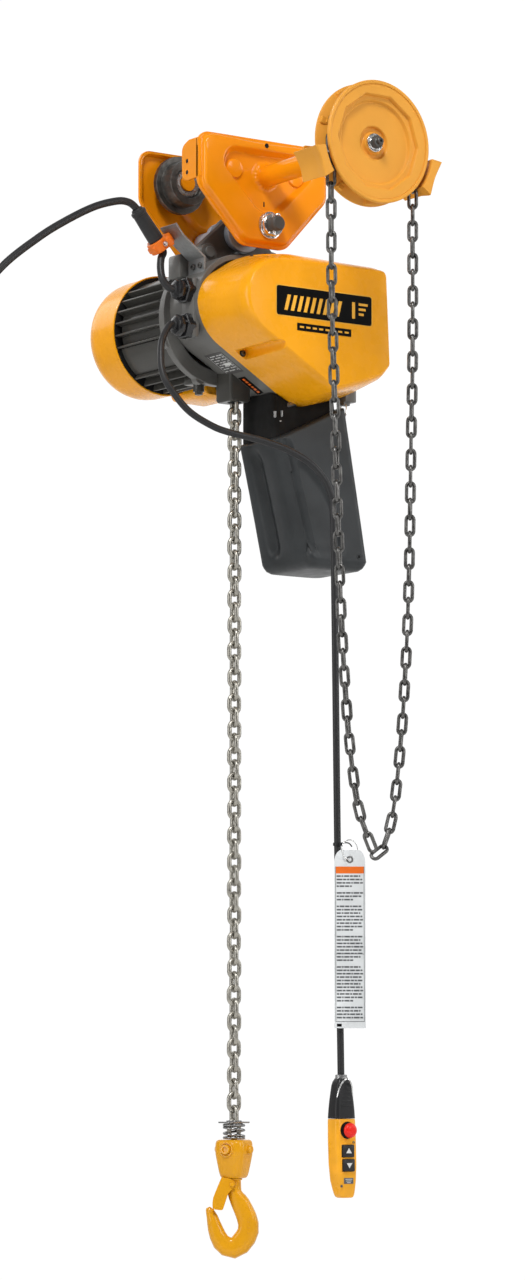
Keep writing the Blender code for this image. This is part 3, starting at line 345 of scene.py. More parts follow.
def dress(node, material, bevel=0):
    """A CAD node that stays visible gets its finish and softer edges."""
    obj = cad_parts[node]
    obj.data.materials.clear()
    obj.data.materials.append(MATERIALS[material])
    if bevel:
        weld = obj.modifiers.new("weld", "WELD")
        weld.merge_threshold = 0.00001
        round_edges(obj, bevel)


def loft(rings, closed=False):
    """Skin over rings of as many points each, capped at both ends unless the rings close."""
    shape = bmesh.new()
    rows = [[shape.verts.new(p) for p in ring] for ring in rings]
    count = len(rows[0])
    pairs = list(zip(rows, rows[1:]))
    if closed:
        pairs.append((rows[-1], rows[0]))
    for first, second in pairs:
        for i in range(count):
            j = (i + 1) % count
            shape.faces.new((first[i], first[j], second[j], second[i]))
    if not closed:
        shape.faces.new(list(reversed(rows[0])))
        shape.faces.new(rows[-1])
    bmesh.ops.recalc_face_normals(shape, faces=shape.faces)
    return shape


def lathe(profile, centre=(0, 0, 0), axis="y", segments=64, closed=False):
    """Turn (radius, along) points round an axis; an end on the axis closes to a small disc."""
    rings = []
    for radius, along in profile:
        ring = []
        for i in range(segments):
            turn = 2 * math.pi * i / segments
            a = max(radius, 0.02) * math.cos(turn)
            b = max(radius, 0.02) * math.sin(turn)
            spot = {"x": (along, a, b), "y": (a, along, b), "z": (a, b, along)}[axis]
            ring.append(Vector(spot) + Vector(centre))
        rings.append(ring)
    return loft(rings, closed)


def rounded(corners, steps=6):
    """Polygon of (x, y, radius) corners with true arcs at its corners."""
    points = []
    count = len(corners)
    for i, (x, y, radius) in enumerate(corners):
        here = Vector((x, y))
        before = (Vector(corners[i - 1][:2]) - here).normalized()
        after = (Vector(corners[(i + 1) % count][:2]) - here).normalized()
        half = before.angle(after) / 2
        if radius <= 0 or half > 1.55:
            points.append(here)
            continue
        centre = here + (before + after).normalized() * (radius / math.sin(half))
        start = here + before * (radius / math.tan(half)) - centre
        swing = math.pi - 2 * half
        if before.cross(after) < 0:
            swing = -swing
        for k in range(steps + 1):
            points.append(centre + Matrix.Rotation(-swing * k / steps, 2) @ start)
    return points


def by_angle(corners, centre, count, steps=14):
    """Rounded polygon read at equal angles about a centre, so that outlines match point for point."""
    outline = [p - Vector(centre) for p in rounded(corners, steps)]
    points = []
    for i in range(count):
        angle = 2 * math.pi * i / count
        ray = Vector((math.cos(angle), math.sin(angle)))
        best = 0
        for a, b in zip(outline, outline[1:] + outline[:1]):
            edge = b - a
            bottom = ray.cross(edge)
            if abs(bottom) < 1e-9:
                continue
            along = a.cross(edge) / bottom
            across = a.cross(ray) / bottom
            if along > 0 and -1e-6 <= across <= 1 + 1e-6:
                best = max(best, along)
        points.append(Vector(centre) + ray * best)
    return points


def radians(*degrees):
    return [math.radians(a) for a in degrees]


def circle(count):
    """Angles of a whole turn in equal steps."""
    return [2 * math.pi * k / count for k in range(count)]


def rectangle(x0, x1, y0, y1, radius, steps=8):
    return rounded(((x0, y0, radius), (x1, y0, radius), (x1, y1, radius), (x0, y1, radius)), steps)


def disc(radius, start, end, inner=0):
    """Profile of a plain disc, or of a ring with a bore."""
    return [(inner, start), (radius, start), (radius, end), (inner, end)]


def inset(points, centre, amount):
    middle = Vector(centre)
    return [p + (middle - p).normalized() * amount for p in points]


def at_y(points, y):
    return [Vector((p.x, y, p.y)) for p in points]


def slab(outline, y0, y1):
    return loft([at_y(outline, y0), at_y(outline, y1)])


def at_z(points, z):
    return [Vector((p.x, p.y, z)) for p in points]


def at_x(points, x):
    return [Vector((x, p.x, p.y)) for p in points]


def block(centre, size, bevel=0, turn=None):
    """Box with rounded edges, turned about its own centre."""
    shape = bmesh.new()
    bmesh.ops.create_cube(shape, size=1)
    bmesh.ops.scale(shape, verts=shape.verts, vec=size)
    if bevel:
        bmesh.ops.bevel(shape, geom=shape.edges, offset=bevel, segments=2, profile=0.5, affect="EDGES")
    matrix = Matrix.Translation(centre)
    if turn:
        matrix = matrix @ turn
    bmesh.ops.transform(shape, matrix=matrix, verts=shape.verts)
    return shape


def join(*shapes):
    """One shape from several loose ones, which are used up."""
    whole = bmesh.new()
    for shape in shapes:
        mesh = bpy.data.meshes.new("join")
        shape.to_mesh(mesh)
        shape.free()
        whole.from_mesh(mesh)
        bpy.data.meshes.remove(mesh)
    return whole


def aim(shape, centre, direction):
    """Stand a shape drawn about the Z axis at the origin along a direction at a centre."""
    turn = UP.rotation_difference(Vector(direction)).to_matrix().to_4x4()
    bmesh.ops.transform(shape, matrix=Matrix.Translation(centre) @ turn, verts=shape.verts)
    return shape


def turned(profile, centre, direction, segments, closed=False):
    """Turned shape that stands along a direction at a centre."""
    return aim(lathe(profile, axis="z", segments=segments, closed=closed), centre, direction)


def smooth_path(route, closed=False, per_span=8):
    """Catmull-Rom curve through the points of a route."""
    points = [Vector(p) for p in route]
    count = len(points)
    spans = count if closed else count - 1
    path = []
    for i in range(spans):
        if closed:
            p0, p1, p2, p3 = (points[(i + k) % count] for k in (-1, 0, 1, 2))
        else:
            p1, p2 = points[i], points[i + 1]
            p0 = points[i - 1] if i else p1 * 2 - p2
            p3 = points[i + 2] if i + 2 < count else p2 * 2 - p1
        for k in range(per_span):
            t = k / per_span
            path.append(((p1 * 2) + (p2 - p0) * t + (p0 * 2 - p1 * 5 + p2 * 4 - p3) * t ** 2
                + (p1 * 3 - p0 - p2 * 3 + p3) * t ** 3) * 0.5)
    if not closed:
        path.append(points[-1].copy())
    return path


def route_length(path):
    return sum((b - a).length for a, b in zip(path, path[1:]))


def even_steps(points, count):
    """Evenly spaced places round a closed loop, each with the two ends of the edge that it lies on."""
    total = [0]
    for a, b in zip(points, points[1:] + points[:1]):
        total.append(total[-1] + (b - a).length)
    edge = 0
    for i in range(count):
        goal = total[-1] * i / count
        while total[edge + 1] < goal:
            edge += 1
        share = (goal - total[edge]) / max(total[edge + 1] - total[edge], 1e-9)
        a, b = points[edge], points[(edge + 1) % len(points)]
        yield a.lerp(b, share), a, b


def sweep(path, radius, sides=12, closed=False):
    """Tube along a path."""
    count = len(path)
    if closed:
        tangents = [(path[(i + 1) % count] - path[i - 1]).normalized() for i in range(count)]
    else:
        tangents = [(path[min(i + 1, count - 1)] - path[max(i - 1, 0)]).normalized()
            for i in range(count)]
    side = tangents[0].orthogonal().normalized()
    rings = []
    for point, along in zip(path, tangents):
        side = (side - along * side.dot(along)).normalized()
        other = along.cross(side)
        rings.append([point + side * radius * math.cos(a) + other * radius * math.sin(a)
            for a in circle(sides)])
    if closed:
        # turn the last rings so that the frame closes without a twist
        gap = rings[0][0] - path[0]
        final = (side - tangents[0] * side.dot(tangents[0])).normalized()
        twist = math.atan2(final.cross(gap.normalized()).dot(tangents[0]), final.dot(gap.normalized()))
        for i in range(count):
            turn = Matrix.Rotation(twist * i / count, 3, tangents[i])
            rings[i] = [path[i] + turn @ (p - path[i]) for p in rings[i]]
    return loft(rings, closed)


def screw_head(centre, direction, radius, height):
    """Cap screw with a chamfer and a hexagon socket."""
    profile = [(0, 0), (radius, 0), (radius, height * 0.8), (radius * 0.85, height),
        (radius * 0.5, height), (radius * 0.46, height * 0.45), (0, height * 0.45)]
    return turned(profile, centre, direction, 24)


def hex_head(centre, direction, radius, height):
    profile = [(0, 0), (radius, 0), (radius, height * 0.85), (radius * 0.86, height), (0, height)]
    return turned(profile, centre, direction, 6)


# ---------------------------------------------------------------- trolley

AXLE_X = 59.65
AXLE_Z = 38
PLATE_CENTRE = (-4, 12)
PLATE_CORNERS = ((-130, 91, 20), (-130, 5, 26), (-48, -84, 28), (38, -84, 28), (120, 5, 26),
    (120, 46, 22), (88, 91, 26))
POCKET_CORNERS = ((-120, 71, 24), (0, -46, 38), (120, 71, 24))
POCKET_Y = 85
RIDGE_Y = 97
SHEET = 5
PLATE_POINTS = 200
TAB_X = -130
SHAFT_Z = -49.5
SHAFT_AXIS = (0, 0, SHAFT_Z)
SHAFT_RADIUS = 12
SHAFT_BORE = SHAFT_RADIUS + 0.3
SPACERS = {
    "front": [(SHAFT_BORE, -89.7), (18, -89.7), (18, -42), (23, -42), (24, -41), (24, -34), (21, -33),
        (21, -29), (31, -28), (32, -27), (32, -20), (31, -19), (22, -18), (22, -16), (27, -15),
        (27, -8.3), (SHAFT_BORE, -8.3)],
    "rear": [(SHAFT_BORE, 8.3), (31, 8.3), (32, 9.3), (32, 16), (31, 17), (22, 18), (22, 21), (27, 22),
        (27, 30), (20, 31), (20, 35), (27, 36), (27, 44), (18, 45), (18, 89.7), (SHAFT_BORE, 89.7)],
}
DRIVE_Z = 31.5
DRIVE_AXIS = (0, 0, DRIVE_Z)
TUBE_RADIUS = 17
TUBE_END_Y = -330


def side_plate(side):
    """Pressed plate: flat edge, rounded step up to the ridge, rounded step down to the pocket."""
    rim = by_angle(PLATE_CORNERS, PLATE_CENTRE, PLATE_POINTS)
    edge = by_angle(POCKET_CORNERS, PLATE_CENTRE, PLATE_POINTS)
    profile = [(rim, 0, 82), (rim, 0, 86), (rim, 1, 87), (rim, 4.6, 87.2), (rim, 5.8, 88)]
    profile += [(rim, 6.6 + 4.6 * (1 - math.cos(t)), 88.4 + 8.6 * math.sin(t))
        for t in radians(8, 25, 45, 65, 80, 90)]
    fall = RIDGE_Y - POCKET_Y
    profile += [(edge, -4 + 4.5 * math.sin(t), RIDGE_Y - 4.5 * (1 - math.cos(t)))
        for t in radians(0, 20, 40, 58)]
    profile += [(edge, 3.4, RIDGE_Y - fall * 0.62)]
    profile += [(edge, 9 - 4.5 * math.sin(t), POCKET_Y + 4.5 * (1 - math.cos(t)))
        for t in radians(58, 40, 20, 0)]
    front = [at_y(inset(line, PLATE_CENTRE, amount), side * y) for line, amount, y in profile]
    back = [at_y(inset(line, PLATE_CENTRE, amount + 0.8), side * (y - SHEET))
        for line, amount, y in profile[1:]]
    shape = loft(list(reversed(back)) + front)
    shapes = [shape]
    if side < 0:
        outline = rounded(((-87, 16, 3), (-56, 15, 9), (-41, 20, 9), (-40, 72, 14), (-60, 80, 10),
            (-87, 80, 3)), 8)
        shapes.append(loft([at_x(outline, TAB_X), at_x(outline, TAB_X + SHEET)]))
        bend = rounded(((-130, -81, 0), (-130, -88.5, 6), (-121, -89.5, 2), (-121, -83, 2)), 8)
        shapes.append(loft([at_z(bend, 17), at_z(bend, 79)]))
    name = "plate_front_sheet" if side < 0 else "plate_rear_sheet"
    node = "side_plate_front" if side < 0 else "side_plate_rear"
    show(name, join(*shapes), "orange", "trolley", node, bevel=0.5)
    if side < 0:
        # dark discs and a dark slit of painted shade where the holes and the slot would show their shaded
        # inside
        hole_shades = [lathe(disc(3.6, 0, -0.3), (TAB_X, -56, z), "x", 24) for z in (46, 28)]
        hole_shades.append(lathe(disc(4.2, -97.25, -97), (-5, 0, 79.5), "y", 28))
        hole_shades.append(block((-2, -85.2, -13), (2.2, 0.6, 8), 0.2))
        show("plate_hole_shades", join(*hole_shades), "hollow", "trolley")
        rings = [lathe([(3.6, -0.5), (4.6, -0.5), (5, 0.1), (3.6, 0.1)], (TAB_X, -56, z), "x", 28, True)
            for z in (46, 28)]
        rings.append(lathe([(4, -97.5), (5, -97.5), (5.8, -97), (4, -97)], (-5, 0, 79.5), "y", 28, True))
        show("plate_hole_edges", join(*rings), "orange", "trolley")


def axles():
    """Four axles: a domed head outside the plate, a seat for the wheel and a collar inside."""
    for row, side in (("front", -1), ("rear", 1)):
        for end, x in (("left", -AXLE_X), ("right", AXLE_X)):
            profile = [(0, 88.4), (13.4, 88.4), (14.8, 87.9), (15.5, 86.8), (16.4, 85.3), (9, 85),
                (9, 48.6), (12.4, 48.6), (13, 48), (13, 44.6), (12.4, 44), (0, 44)]
            shape = lathe([(r, side * y) for r, y in profile], (x, 0, AXLE_Z), segments=56)
            node = "axle_" + row + "_" + end
            show(node + "_turned", shape, "orange", "trolley", node)


def track_wheels():
    """Cast wheels: tread, flange or toothed flange, a dished inner face and a bearing cap."""
    for row, side in (("front", -1), ("rear", 1)):
        for end, x in (("left", -AXLE_X), ("right", AXLE_X)):
            body = "track_wheel_" + row + "_" + end
            dress("wheel_" + row + "_" + end, "dark_steel", 0.7)
            centre = (x, 0, AXLE_Z)
            cap = lathe([(13.6, side * 47.2), (15, side * 46.6), (21, side * 46.6), (22.6, side * 47.6),
                (22.6, side * 49.5), (13.6, side * 49.5)], centre, segments=48, closed=True)
            show(body + "_bearing", cap, "bare_steel", body)


def suspension():
    """Suspension shaft, its washer and split pin, and the stepped spacer stacks on either side."""
    end = 126
    profile = [(0, -end), (9.6, -end), (SHAFT_RADIUS, -end + 2.6), (SHAFT_RADIUS, RIDGE_Y + 0.3),
        (18, RIDGE_Y + 0.3), (19, RIDGE_Y + 1.3), (19, 105), (18, 106), (0, 106)]
    shape = lathe(profile, SHAFT_AXIS, segments=64)
    show("suspension_shaft_turned", shape, "dark_paint", "trolley", "suspension_shaft")
    profile = [(SHAFT_BORE, -97.3), (21.5, -97.3), (22, -97.9), (22, -100.6), (21, -101.2),
        (17.5, -101.4), (17.5, -104.5), (18.5, -105), (18.5, -109.5), (17.5, -110.5),
        (SHAFT_BORE, -110.5)]
    shape = lathe(profile, SHAFT_AXIS, segments=72, closed=True)
    show("washer_stack", shape, "bright", "trolley", "shaft_washer")

    lean = Vector((0.3, 0, 1)).normalized()
    across = Vector((1, 0, -0.3)).normalized()
    middle = Vector((0, -116, SHAFT_Z))
    shapes = []
    for sign in (-1, 1):
        route = [middle + lean * 13.5 + across * sign * 0.6, middle + across * sign * 0.8,
            middle - lean * 15 + across * sign * 1, middle - lean * 19 + across * sign * 3.5,
            middle - lean * (20 if sign < 0 else 16) + across * sign * 8 + Vector((0, 3, 0))]
        shapes.append(sweep(smooth_path(route), 1.35, 10))
    loop = [middle + lean * (15 + 2.6 * math.sin(a)) + across * 2.4 * math.cos(a) for a in circle(24)]
    shapes.append(sweep(loop, 1.3, 10, True))
    show("split_pin_wire", join(*shapes), "bright", "trolley", "split_pin")

    for end, profile in SPACERS.items():
        shape = lathe(profile, SHAFT_AXIS, segments=72, closed=True)
        show("spacer_stack_" + end, shape, "spacer_zinc", "trolley", "spacer_" + end, bevel=0.6)


def hand_drive():
    """Tube with a rough weld at its foot, the threaded shaft end, and the washer and nut on it."""
    tube = [(12.5, -85.3), (27, -85.3)]
    tube += [(TUBE_RADIUS + 10 * (1 - math.sin(t)), -85.3 - 9 * (1 - math.cos(t)))
        for t in radians(12, 30, 50, 70, 90)]
    tube += [(TUBE_RADIUS, TUBE_END_Y + 3.3), (TUBE_RADIUS - 1, TUBE_END_Y + 2.3),
        (12.5, TUBE_END_Y + 2.3)]
    shape = lathe(tube, DRIVE_AXIS, segments=72, closed=True)
    for vert in shape.verts:
        off = Vector((vert.co.x, vert.co.z - DRIVE_Z))
        if off.length > TUBE_RADIUS + 2 and vert.co.y < -86:
            turn = math.atan2(off.y, off.x)
            swell = 0.9 * math.sin(turn * 23) + 0.7 * math.sin(turn * 9 + 1)
            vert.co.x += off.x / off.length * swell
            vert.co.z += off.y / off.length * swell
    show("drive_tube", shape, "orange", "trolley", "shaft_tube")

    profile = [(0, -374), (7.9, -374), (7.9, -381), (9, -381.2), (9, -389.4), (8.2, -390.4),
        (5.8, -390.6), (5.2, -391), (5.2, -395.4), (4.4, -396.2), (2.4, -396.2), (2, -392), (0, -392)]
    threads = [lathe([(8.9, y), (9.7, y - 0.6), (8.9, y - 1.2)], DRIVE_AXIS, segments=40)
        for y in (-382.6, -384.8, -387)]
    show("drive_shaft_end", join(lathe(profile, DRIVE_AXIS, segments=48), *threads), "dark_paint",
        "hand_drive")
    dress("pinion_shaft", "dark_steel")

    washer = lathe([(8.8, -377.1), (14, -377.1), (14.6, -377.7), (14.6, -380.2), (14, -380.8),
        (12.6, -380.8), (12, -379), (8.8, -379)], DRIVE_AXIS, segments=56, closed=True)
    nut = lathe([(8.6, -378.5), (10.4, -378.5), (10.4, -380.6), (9.8, -381.2), (8.6, -381.2)], DRIVE_AXIS,
        segments=48, closed=True)
    show("hand_wheel_fixing", join(washer, nut), "bright", "hand_drive", "hand_wheel_nut",
        bevel=0.3)


def hand_wheel():
    """Two cast discs: a bead at the rim, a ten-sided step, a sunk web and a hub in a dished recess."""
    count = 240
    centre = Vector(DRIVE_AXIS)
    sides = 10

    def ring(radius, y, many=0):
        points = []
        for i in range(count):
            turn = 2 * math.pi * i / count
            r = radius
            if many:
                part = 2 * math.pi / sides
                flat = math.cos(part / 2) / math.cos((turn % part) - part / 2)
                r = radius * (1 + (flat * 1.03 - 1) * many)
            points.append(centre + Vector((r * math.cos(turn), y, r * math.sin(turn))))
        return points

    front = [(8.3, -377), (14.6, -377), (16.2, -376.2), (17.2, -372.4), (19, -371), (19.6, -371),
        (22.2, -371), (24.6, -371.6), (25.8, -376.4), (26.8, -377.2), (28, -377.2), (61.6, -377.2),
        (63, -377.3), (64.2, -378.2), (65.2, -381.8), (66.2, -382.7), (67.2, -382.8, 0.2),
        (71.4, -382.9, 0.8), (72.6, -383.2, 1), (74.2, -388.8, 1), (75.2, -389.5, 1), (76.2, -389.6, 1),
        (80, -389.7, 0.4), (87.4, -389.9), (88.6, -390), (89.6, -389.7), (90.4, -391.4), (91.4, -391.8),
        (94.2, -391.8), (95.6, -390.6), (95.6, -386.6), (94, -385.2), (83, -381), (71, -376.2)]
    groove = [(67.8, -374.4), (67, -372), (67.8, -369.6)]
    back = [(71, -367.8), (83, -363), (93.8, -358.8), (95.6, -357.6), (95.6, -354.2), (94.2, -353),
        (88, -353.4), (74, -358.8), (30, -358.8), (20, -353), (8.3, -353)]
    shape = loft([ring(*spot) for spot in front + groove + back], closed=True)
    ribs = []
    for i in range(sides):
        turn = Matrix.Rotation(2 * math.pi * (i + 0.5) / sides, 4, "Y")
        for y in (-379.6, -363.5):
            middle = centre + turn @ Vector((80, y, 0))
            ribs.append(block(middle, (12, 5.4, 7), 1.4, turn))
        middle = centre + turn @ Vector((84, -361, 0))
        ribs.append(block(middle, (19, 6.6, 11), 1.2, turn))
        middle = centre + turn @ Vector((69.5, -372, 0))
        ribs.append(block(middle, (6, 12, 13), 2, turn))
    show("hand_wheel_casting", join(shape, *ribs), "wheel_yellow", "hand_drive", "hand_wheel",
        smooth=40)


GUIDE_ARCS = ((190, 213.5), (-36, -8))
GUIDE_INNER = 102.5
GUIDE_OUTER = 122.3
GUIDE_HOLLOW = 6


def chain_guide():
    """Bracket whose two ends are hollow-backed horns that follow the rim of the hand wheel."""
    shapes = []
    front, back = -392, TUBE_END_Y + 2
    steps = 16

    def horn(start, end, margin):
        outline = []
        for outer, first, last in ((False, start, end), (True, end, start)):
            for i in range(steps + 1):
                share = i / steps
                hollow = GUIDE_HOLLOW * math.sin(math.pi * share)
                radius = GUIDE_OUTER - hollow - margin if outer else GUIDE_INNER + margin
                turn = math.radians(first + (last - first) * share)
                outline.append(Vector((radius * math.cos(turn), DRIVE_Z + radius * math.sin(turn))))
        return outline

    for start, end in GUIDE_ARCS:
        rings = [at_y(horn(start, end, margin), y) for margin, y in ((3, back), (3, -370), (2.4, -374),
            (0.8, -382), (0, -386), (0, front + 1), (1, front))]
        shapes.append(loft(rings))
    bar = rounded(((-100, -8, 4), (-24, -4, 8), (-19, 20, 10), (19, 20, 10), (24, -4, 8), (104, -8, 4),
        (104, -36, 4), (-100, -36, 4)), 5)
    shapes.append(loft([[Vector((p.x, y, DRIVE_Z + p.y)) for p in bar] for y in (back, back - 3.4)]))
    show("chain_guide_casting", join(*shapes), "wheel_yellow", "trolley", "chain_guide_bracket",
        bevel=1, smooth=40)


# ---------------------------------------------------------------- chains

HAND_CHAIN_Y = -372
HAND_CHAIN_ROUTE = ((77.8, 31.5), (77.7, -120), (77, -282), (73, -439), (68.2, -632), (62, -760),
    (50, -902), (33, -1010), (8, -1060), (-14, -1030), (-31.7, -981), (-46, -890), (-54, -800),
    (-61.5, -680), (-69.6, -451), (-76.5, -221), (-77.8, -100), (-77.8, 31.5))
HAND_LINK = {"pitch": 25.5, "wire": 5.4, "width": 17}
LOAD_LINK = {"pitch": 21, "wire": 7.1, "width": 24}
LOAD_CHAIN_TOP = -247
LOAD_CHAIN_END = -1495.7
LOAD_CHAIN_TURN = 10


def link_rings(link):
    """Rings of points of one link that lies in the XZ plane, long way along Z, about the origin."""
    wire = link["wire"] / 2
    radius = (link["width"] - link["wire"]) / 2
    straight = (link["pitch"] + link["wire"]) / 2 - radius
    spots = []
    for centre_z, first in ((straight, 0), (-straight, math.pi)):
        for i in range(9):
            turn = first + math.pi * i / 8
            spots.append(Vector((radius * math.cos(turn), 0, centre_z + radius * math.sin(turn))))
    rings = []
    count = len(spots)
    for i, spot in enumerate(spots):
        along = (spots[(i + 1) % count] - spots[i - 1]).normalized()
        out = Vector((along.z, 0, -along.x))
        weld = 1.08 if i in (0, count - 1) else 1
        rings.append([spot + (out * math.cos(a) + Vector((0, 1, 0)) * math.sin(a)) * wire * weld
            for a in circle(10)])
    return rings


def chain_mesh(spots, link):
    """All links of a chain in one shape; spots are (centre, direction, facing) of each link."""
    rings = link_rings(link)
    shape = bmesh.new()
    for centre, along, facing in spots:
        across = along.cross(facing).normalized()
        normal = across.cross(along).normalized()
        rows = [[shape.verts.new(centre + across * p.x + normal * p.y + along * p.z) for p in ring]
            for ring in rings]
        for first, second in zip(rows, rows[1:] + rows[:1]):
            for i in range(len(first)):
                j = (i + 1) % len(first)
                shape.faces.new((first[i], first[j], second[j], second[i]))
    return shape


def load_chain():
    """Round-link chain from the sheave to the hook block, each link a quarter turn from the next."""
    count = int((LOAD_CHAIN_TOP - LOAD_CHAIN_END) / LOAD_LINK["pitch"])
    spots = []
    for i in range(count):
        z = LOAD_CHAIN_END + 6 + LOAD_LINK["pitch"] * (i + 0.5)
        turn = math.radians(-LOAD_CHAIN_TURN if i % 2 else 90 - LOAD_CHAIN_TURN)
        wobble = 0.04 * math.sin(i * 2.4)
        spots.append((Vector((0.3 * math.sin(i * 1.7), 0, z)), UP,
            Vector((math.cos(turn + wobble), math.sin(turn + wobble), 0))))
    chain = show("load_chain_links", chain_mesh(spots, LOAD_LINK), "nickel", "hoist", "load_chain",
        smooth=60)
    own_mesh(chain)


def hand_chain():
    """Endless loop over the hand wheel; the links lean 40 to 50 degrees either way from its plane."""
    wheel = HAND_CHAIN_ROUTE[0][0]
    points = [Vector((x, HAND_CHAIN_Y, z)) for x, z in HAND_CHAIN_ROUTE]
    for i in range(1, 12):
        turn = math.pi - math.pi * i / 12
        points.append(Vector((wheel * math.cos(turn), HAND_CHAIN_Y, DRIVE_Z + wheel * math.sin(turn))))
    path = smooth_path(points, True, 24)
    count = int(round(route_length(path + path[:1]) / HAND_LINK["pitch"] / 2)) * 2
    spots = []
    for i, (spot, a, b) in enumerate(even_steps(path, count)):
        along = (b - a).normalized()
        out = along.cross(Vector((0, 1, 0))).normalized()
        tilt = math.radians((50 if i % 2 else -40) + 6 * math.sin(i * 1.9))
        facing = out * math.cos(tilt) + Vector((0, 1, 0)) * math.sin(tilt)
        spots.append((spot, along, facing))
    show("hand_chain_links", chain_mesh(spots, HAND_LINK), "chain", "trolley", "hand_chain",
        smooth=60)


# ---------------------------------------------------------------- hoist body

MOTOR_X = -20
MOTOR_Z = -189
MOTOR_AXIS = (MOTOR_X, 0, MOTOR_Z)
PARTING_Y = -65
COVER_FACE_Y = -190
BODY_CORNERS = ((-116, -91, 82), (-116, -220.6, 82), (72, -333.5, 34), (150, -311.5, 14), (177, -295, 10),
    (174, -102, 14))
COVER_CORNERS = ((-116, -148, 62), (-116, -220.6, 82), (72, -333.5, 56), (150, -311.5, 14),
    (177, -295, 10), (174, -102, 14), (-27, -91.5, 120))
FACE_CORNERS = ((-99, -127, 58), (-99, -218.3, 58), (62, -315, 14), (150, -285, 20), (168, -270, 6),
    (161, -122, 9))
BODY_CENTRE = (20, -205)
BODY_POINTS = 300
SCOOP_ANGLES = (220, 114, 40, 326)
SCOOP_DEPTHS = (15, 14, 14, 10)
MOTOR_RIM_Y = 172
PIN_X = 62
PIN_Z = -86
GLAND_Y = -36
GLANDS = (("power_gland", -158), ("pendant_gland", -215))


def smoothstep(value):
    value = max(0, min(1, value))
    return value * value * (3 - 2 * value)


def controller_cover():
    """Deep moulded cover: drafted sides rolled over into the face, scooped out at its four screws."""
    centre = Vector(BODY_CENTRE)
    body = by_angle(COVER_CORNERS, centre, BODY_POINTS, 20)
    face = by_angle(FACE_CORNERS, centre, BODY_POINTS, 20)
    depth = -COVER_FACE_Y + PARTING_Y
    levels = [i / 10 * 0.5 for i in range(11)]
    levels += [0.5 + 0.5 * math.sin(math.radians(a)) for a in range(6, 91, 4)]
    levels = sorted(set(levels + [0.148, 0.152, 0.156, 0.162, 0.17, 0.18]))
    rings = [at_y(inset(body, centre, 3), PARTING_Y)]
    for level in levels:
        y = PARTING_Y - depth * level
        ring = []
        for wide_point, narrow_point in zip(body, face):
            out = wide_point - centre
            wide = out.length
            narrow = (narrow_point - centre).length
            gap = max(wide - narrow, 1)
            roll = min(62, max(9, gap * 1.6))
            draft = min(14, gap * 0.45)
            into = max(0, (roll - (y - COVER_FACE_Y)) / roll)
            radius = wide - draft * smoothstep((PARTING_Y - y) / depth)
            radius -= (gap - draft) * (1 - math.sqrt(max(0, 1 - min(1, into) ** 2)))
            angle = math.atan2(out.y, out.x)
            for scoop, sunk in zip(SCOOP_ANGLES, SCOOP_DEPTHS):
                swing = math.radians(scoop)
                off = (angle - swing + math.pi) % (2 * math.pi) - math.pi
                across = abs(off) * wide
                width = 11 + 4 * smoothstep(level)
                if across < width and level > 0.15:
                    rear = smoothstep((level - 0.15) / 0.02)
                    bed = wide - sunk * math.cos(math.pi / 2 * across / width) ** 0.8
                    radius = min(radius, wide + (bed - wide) * rear)
            ring.append(centre + out / wide * radius)
        rings.append(at_y(ring, y))
    shape = loft(rings)
    show("controller_cover_moulding", shape, "yellow", "hoist", "controller_cover", smooth=38)
    screws = []
    pit_shades = []
    for scoop in SCOOP_ANGLES:
        turn = math.radians(scoop)
        index = int(scoop / 360 * BODY_POINTS)
        reach = (body[index] - centre).length - 6.5
        spot = centre + Vector((math.cos(turn), math.sin(turn))) * reach
        place = Vector((spot.x, PARTING_Y - depth * 0.157, spot.y))
        # a dark disc of painted shade round each screw head, for the shade in its pit
        pit_shades.append(turned(disc(5.8, 0, 0.8), place, (0, -1, 0), 24))
        screws.append(screw_head(place + Vector((0, -0.6, 0)), (0, -1, 0), 4.2, 3))
    show("cover_screw_pit_shades", join(*pit_shades), "hollow")
    show("cover_screws", join(*screws), "dark_steel")


def cover_labels():
    """Generic plates: no words or marks, only bars."""
    y = COVER_FACE_Y - 0.2

    def plate(x0, x1, z0, z1, radius, thick, lift=0):
        outline = rectangle(x0, x1, z0, z1, radius, 6)
        return slab(outline, y - lift, y - lift - thick)

    # a slightly lighter yellow rim round the black plate: a painted highlight line along the label's edge
    show("label_highlight_rim", plate(-53.2, 134.8, -213.8, -163.6, 5, 0.15), "print_yellow")
    show("label_plate", plate(-51.4, 133, -212, -165.4, 4, 0.35), "print_black")
    bars = []
    for i in range(9):
        x = -37 + i * 12.4
        outline = [Vector((x, -203.5)), Vector((x + 6.4, -203.5)), Vector((x + 13, -178.5)),
            Vector((x + 6.6, -178.5))]
        bars.append(slab(outline, y - 0.3, y - 0.45))
    bars.append(plate(94.5, 100.5, -203.5, -177, 1, 0.2, 0.25))
    for k in range(3):
        bars.append(plate(107.5, 125.5 - 4 * k, -181.5 - 8 * k, -177.5 - 8 * k, 0.8, 0.2, 0.25))
    show("label_bars", join(*bars), "print_yellow")
    show("small_label", plate(-12, 93, -233.4, -221.4, 0.8, 0.3), "print_black")
    marks = [plate(-7 + 12.4 * i, 1 + 12.4 * i, -228.9, -225.9, 0.5, 0.15, 0.25) for i in range(8)]
    show("small_label_marks", join(*marks), "print_yellow")


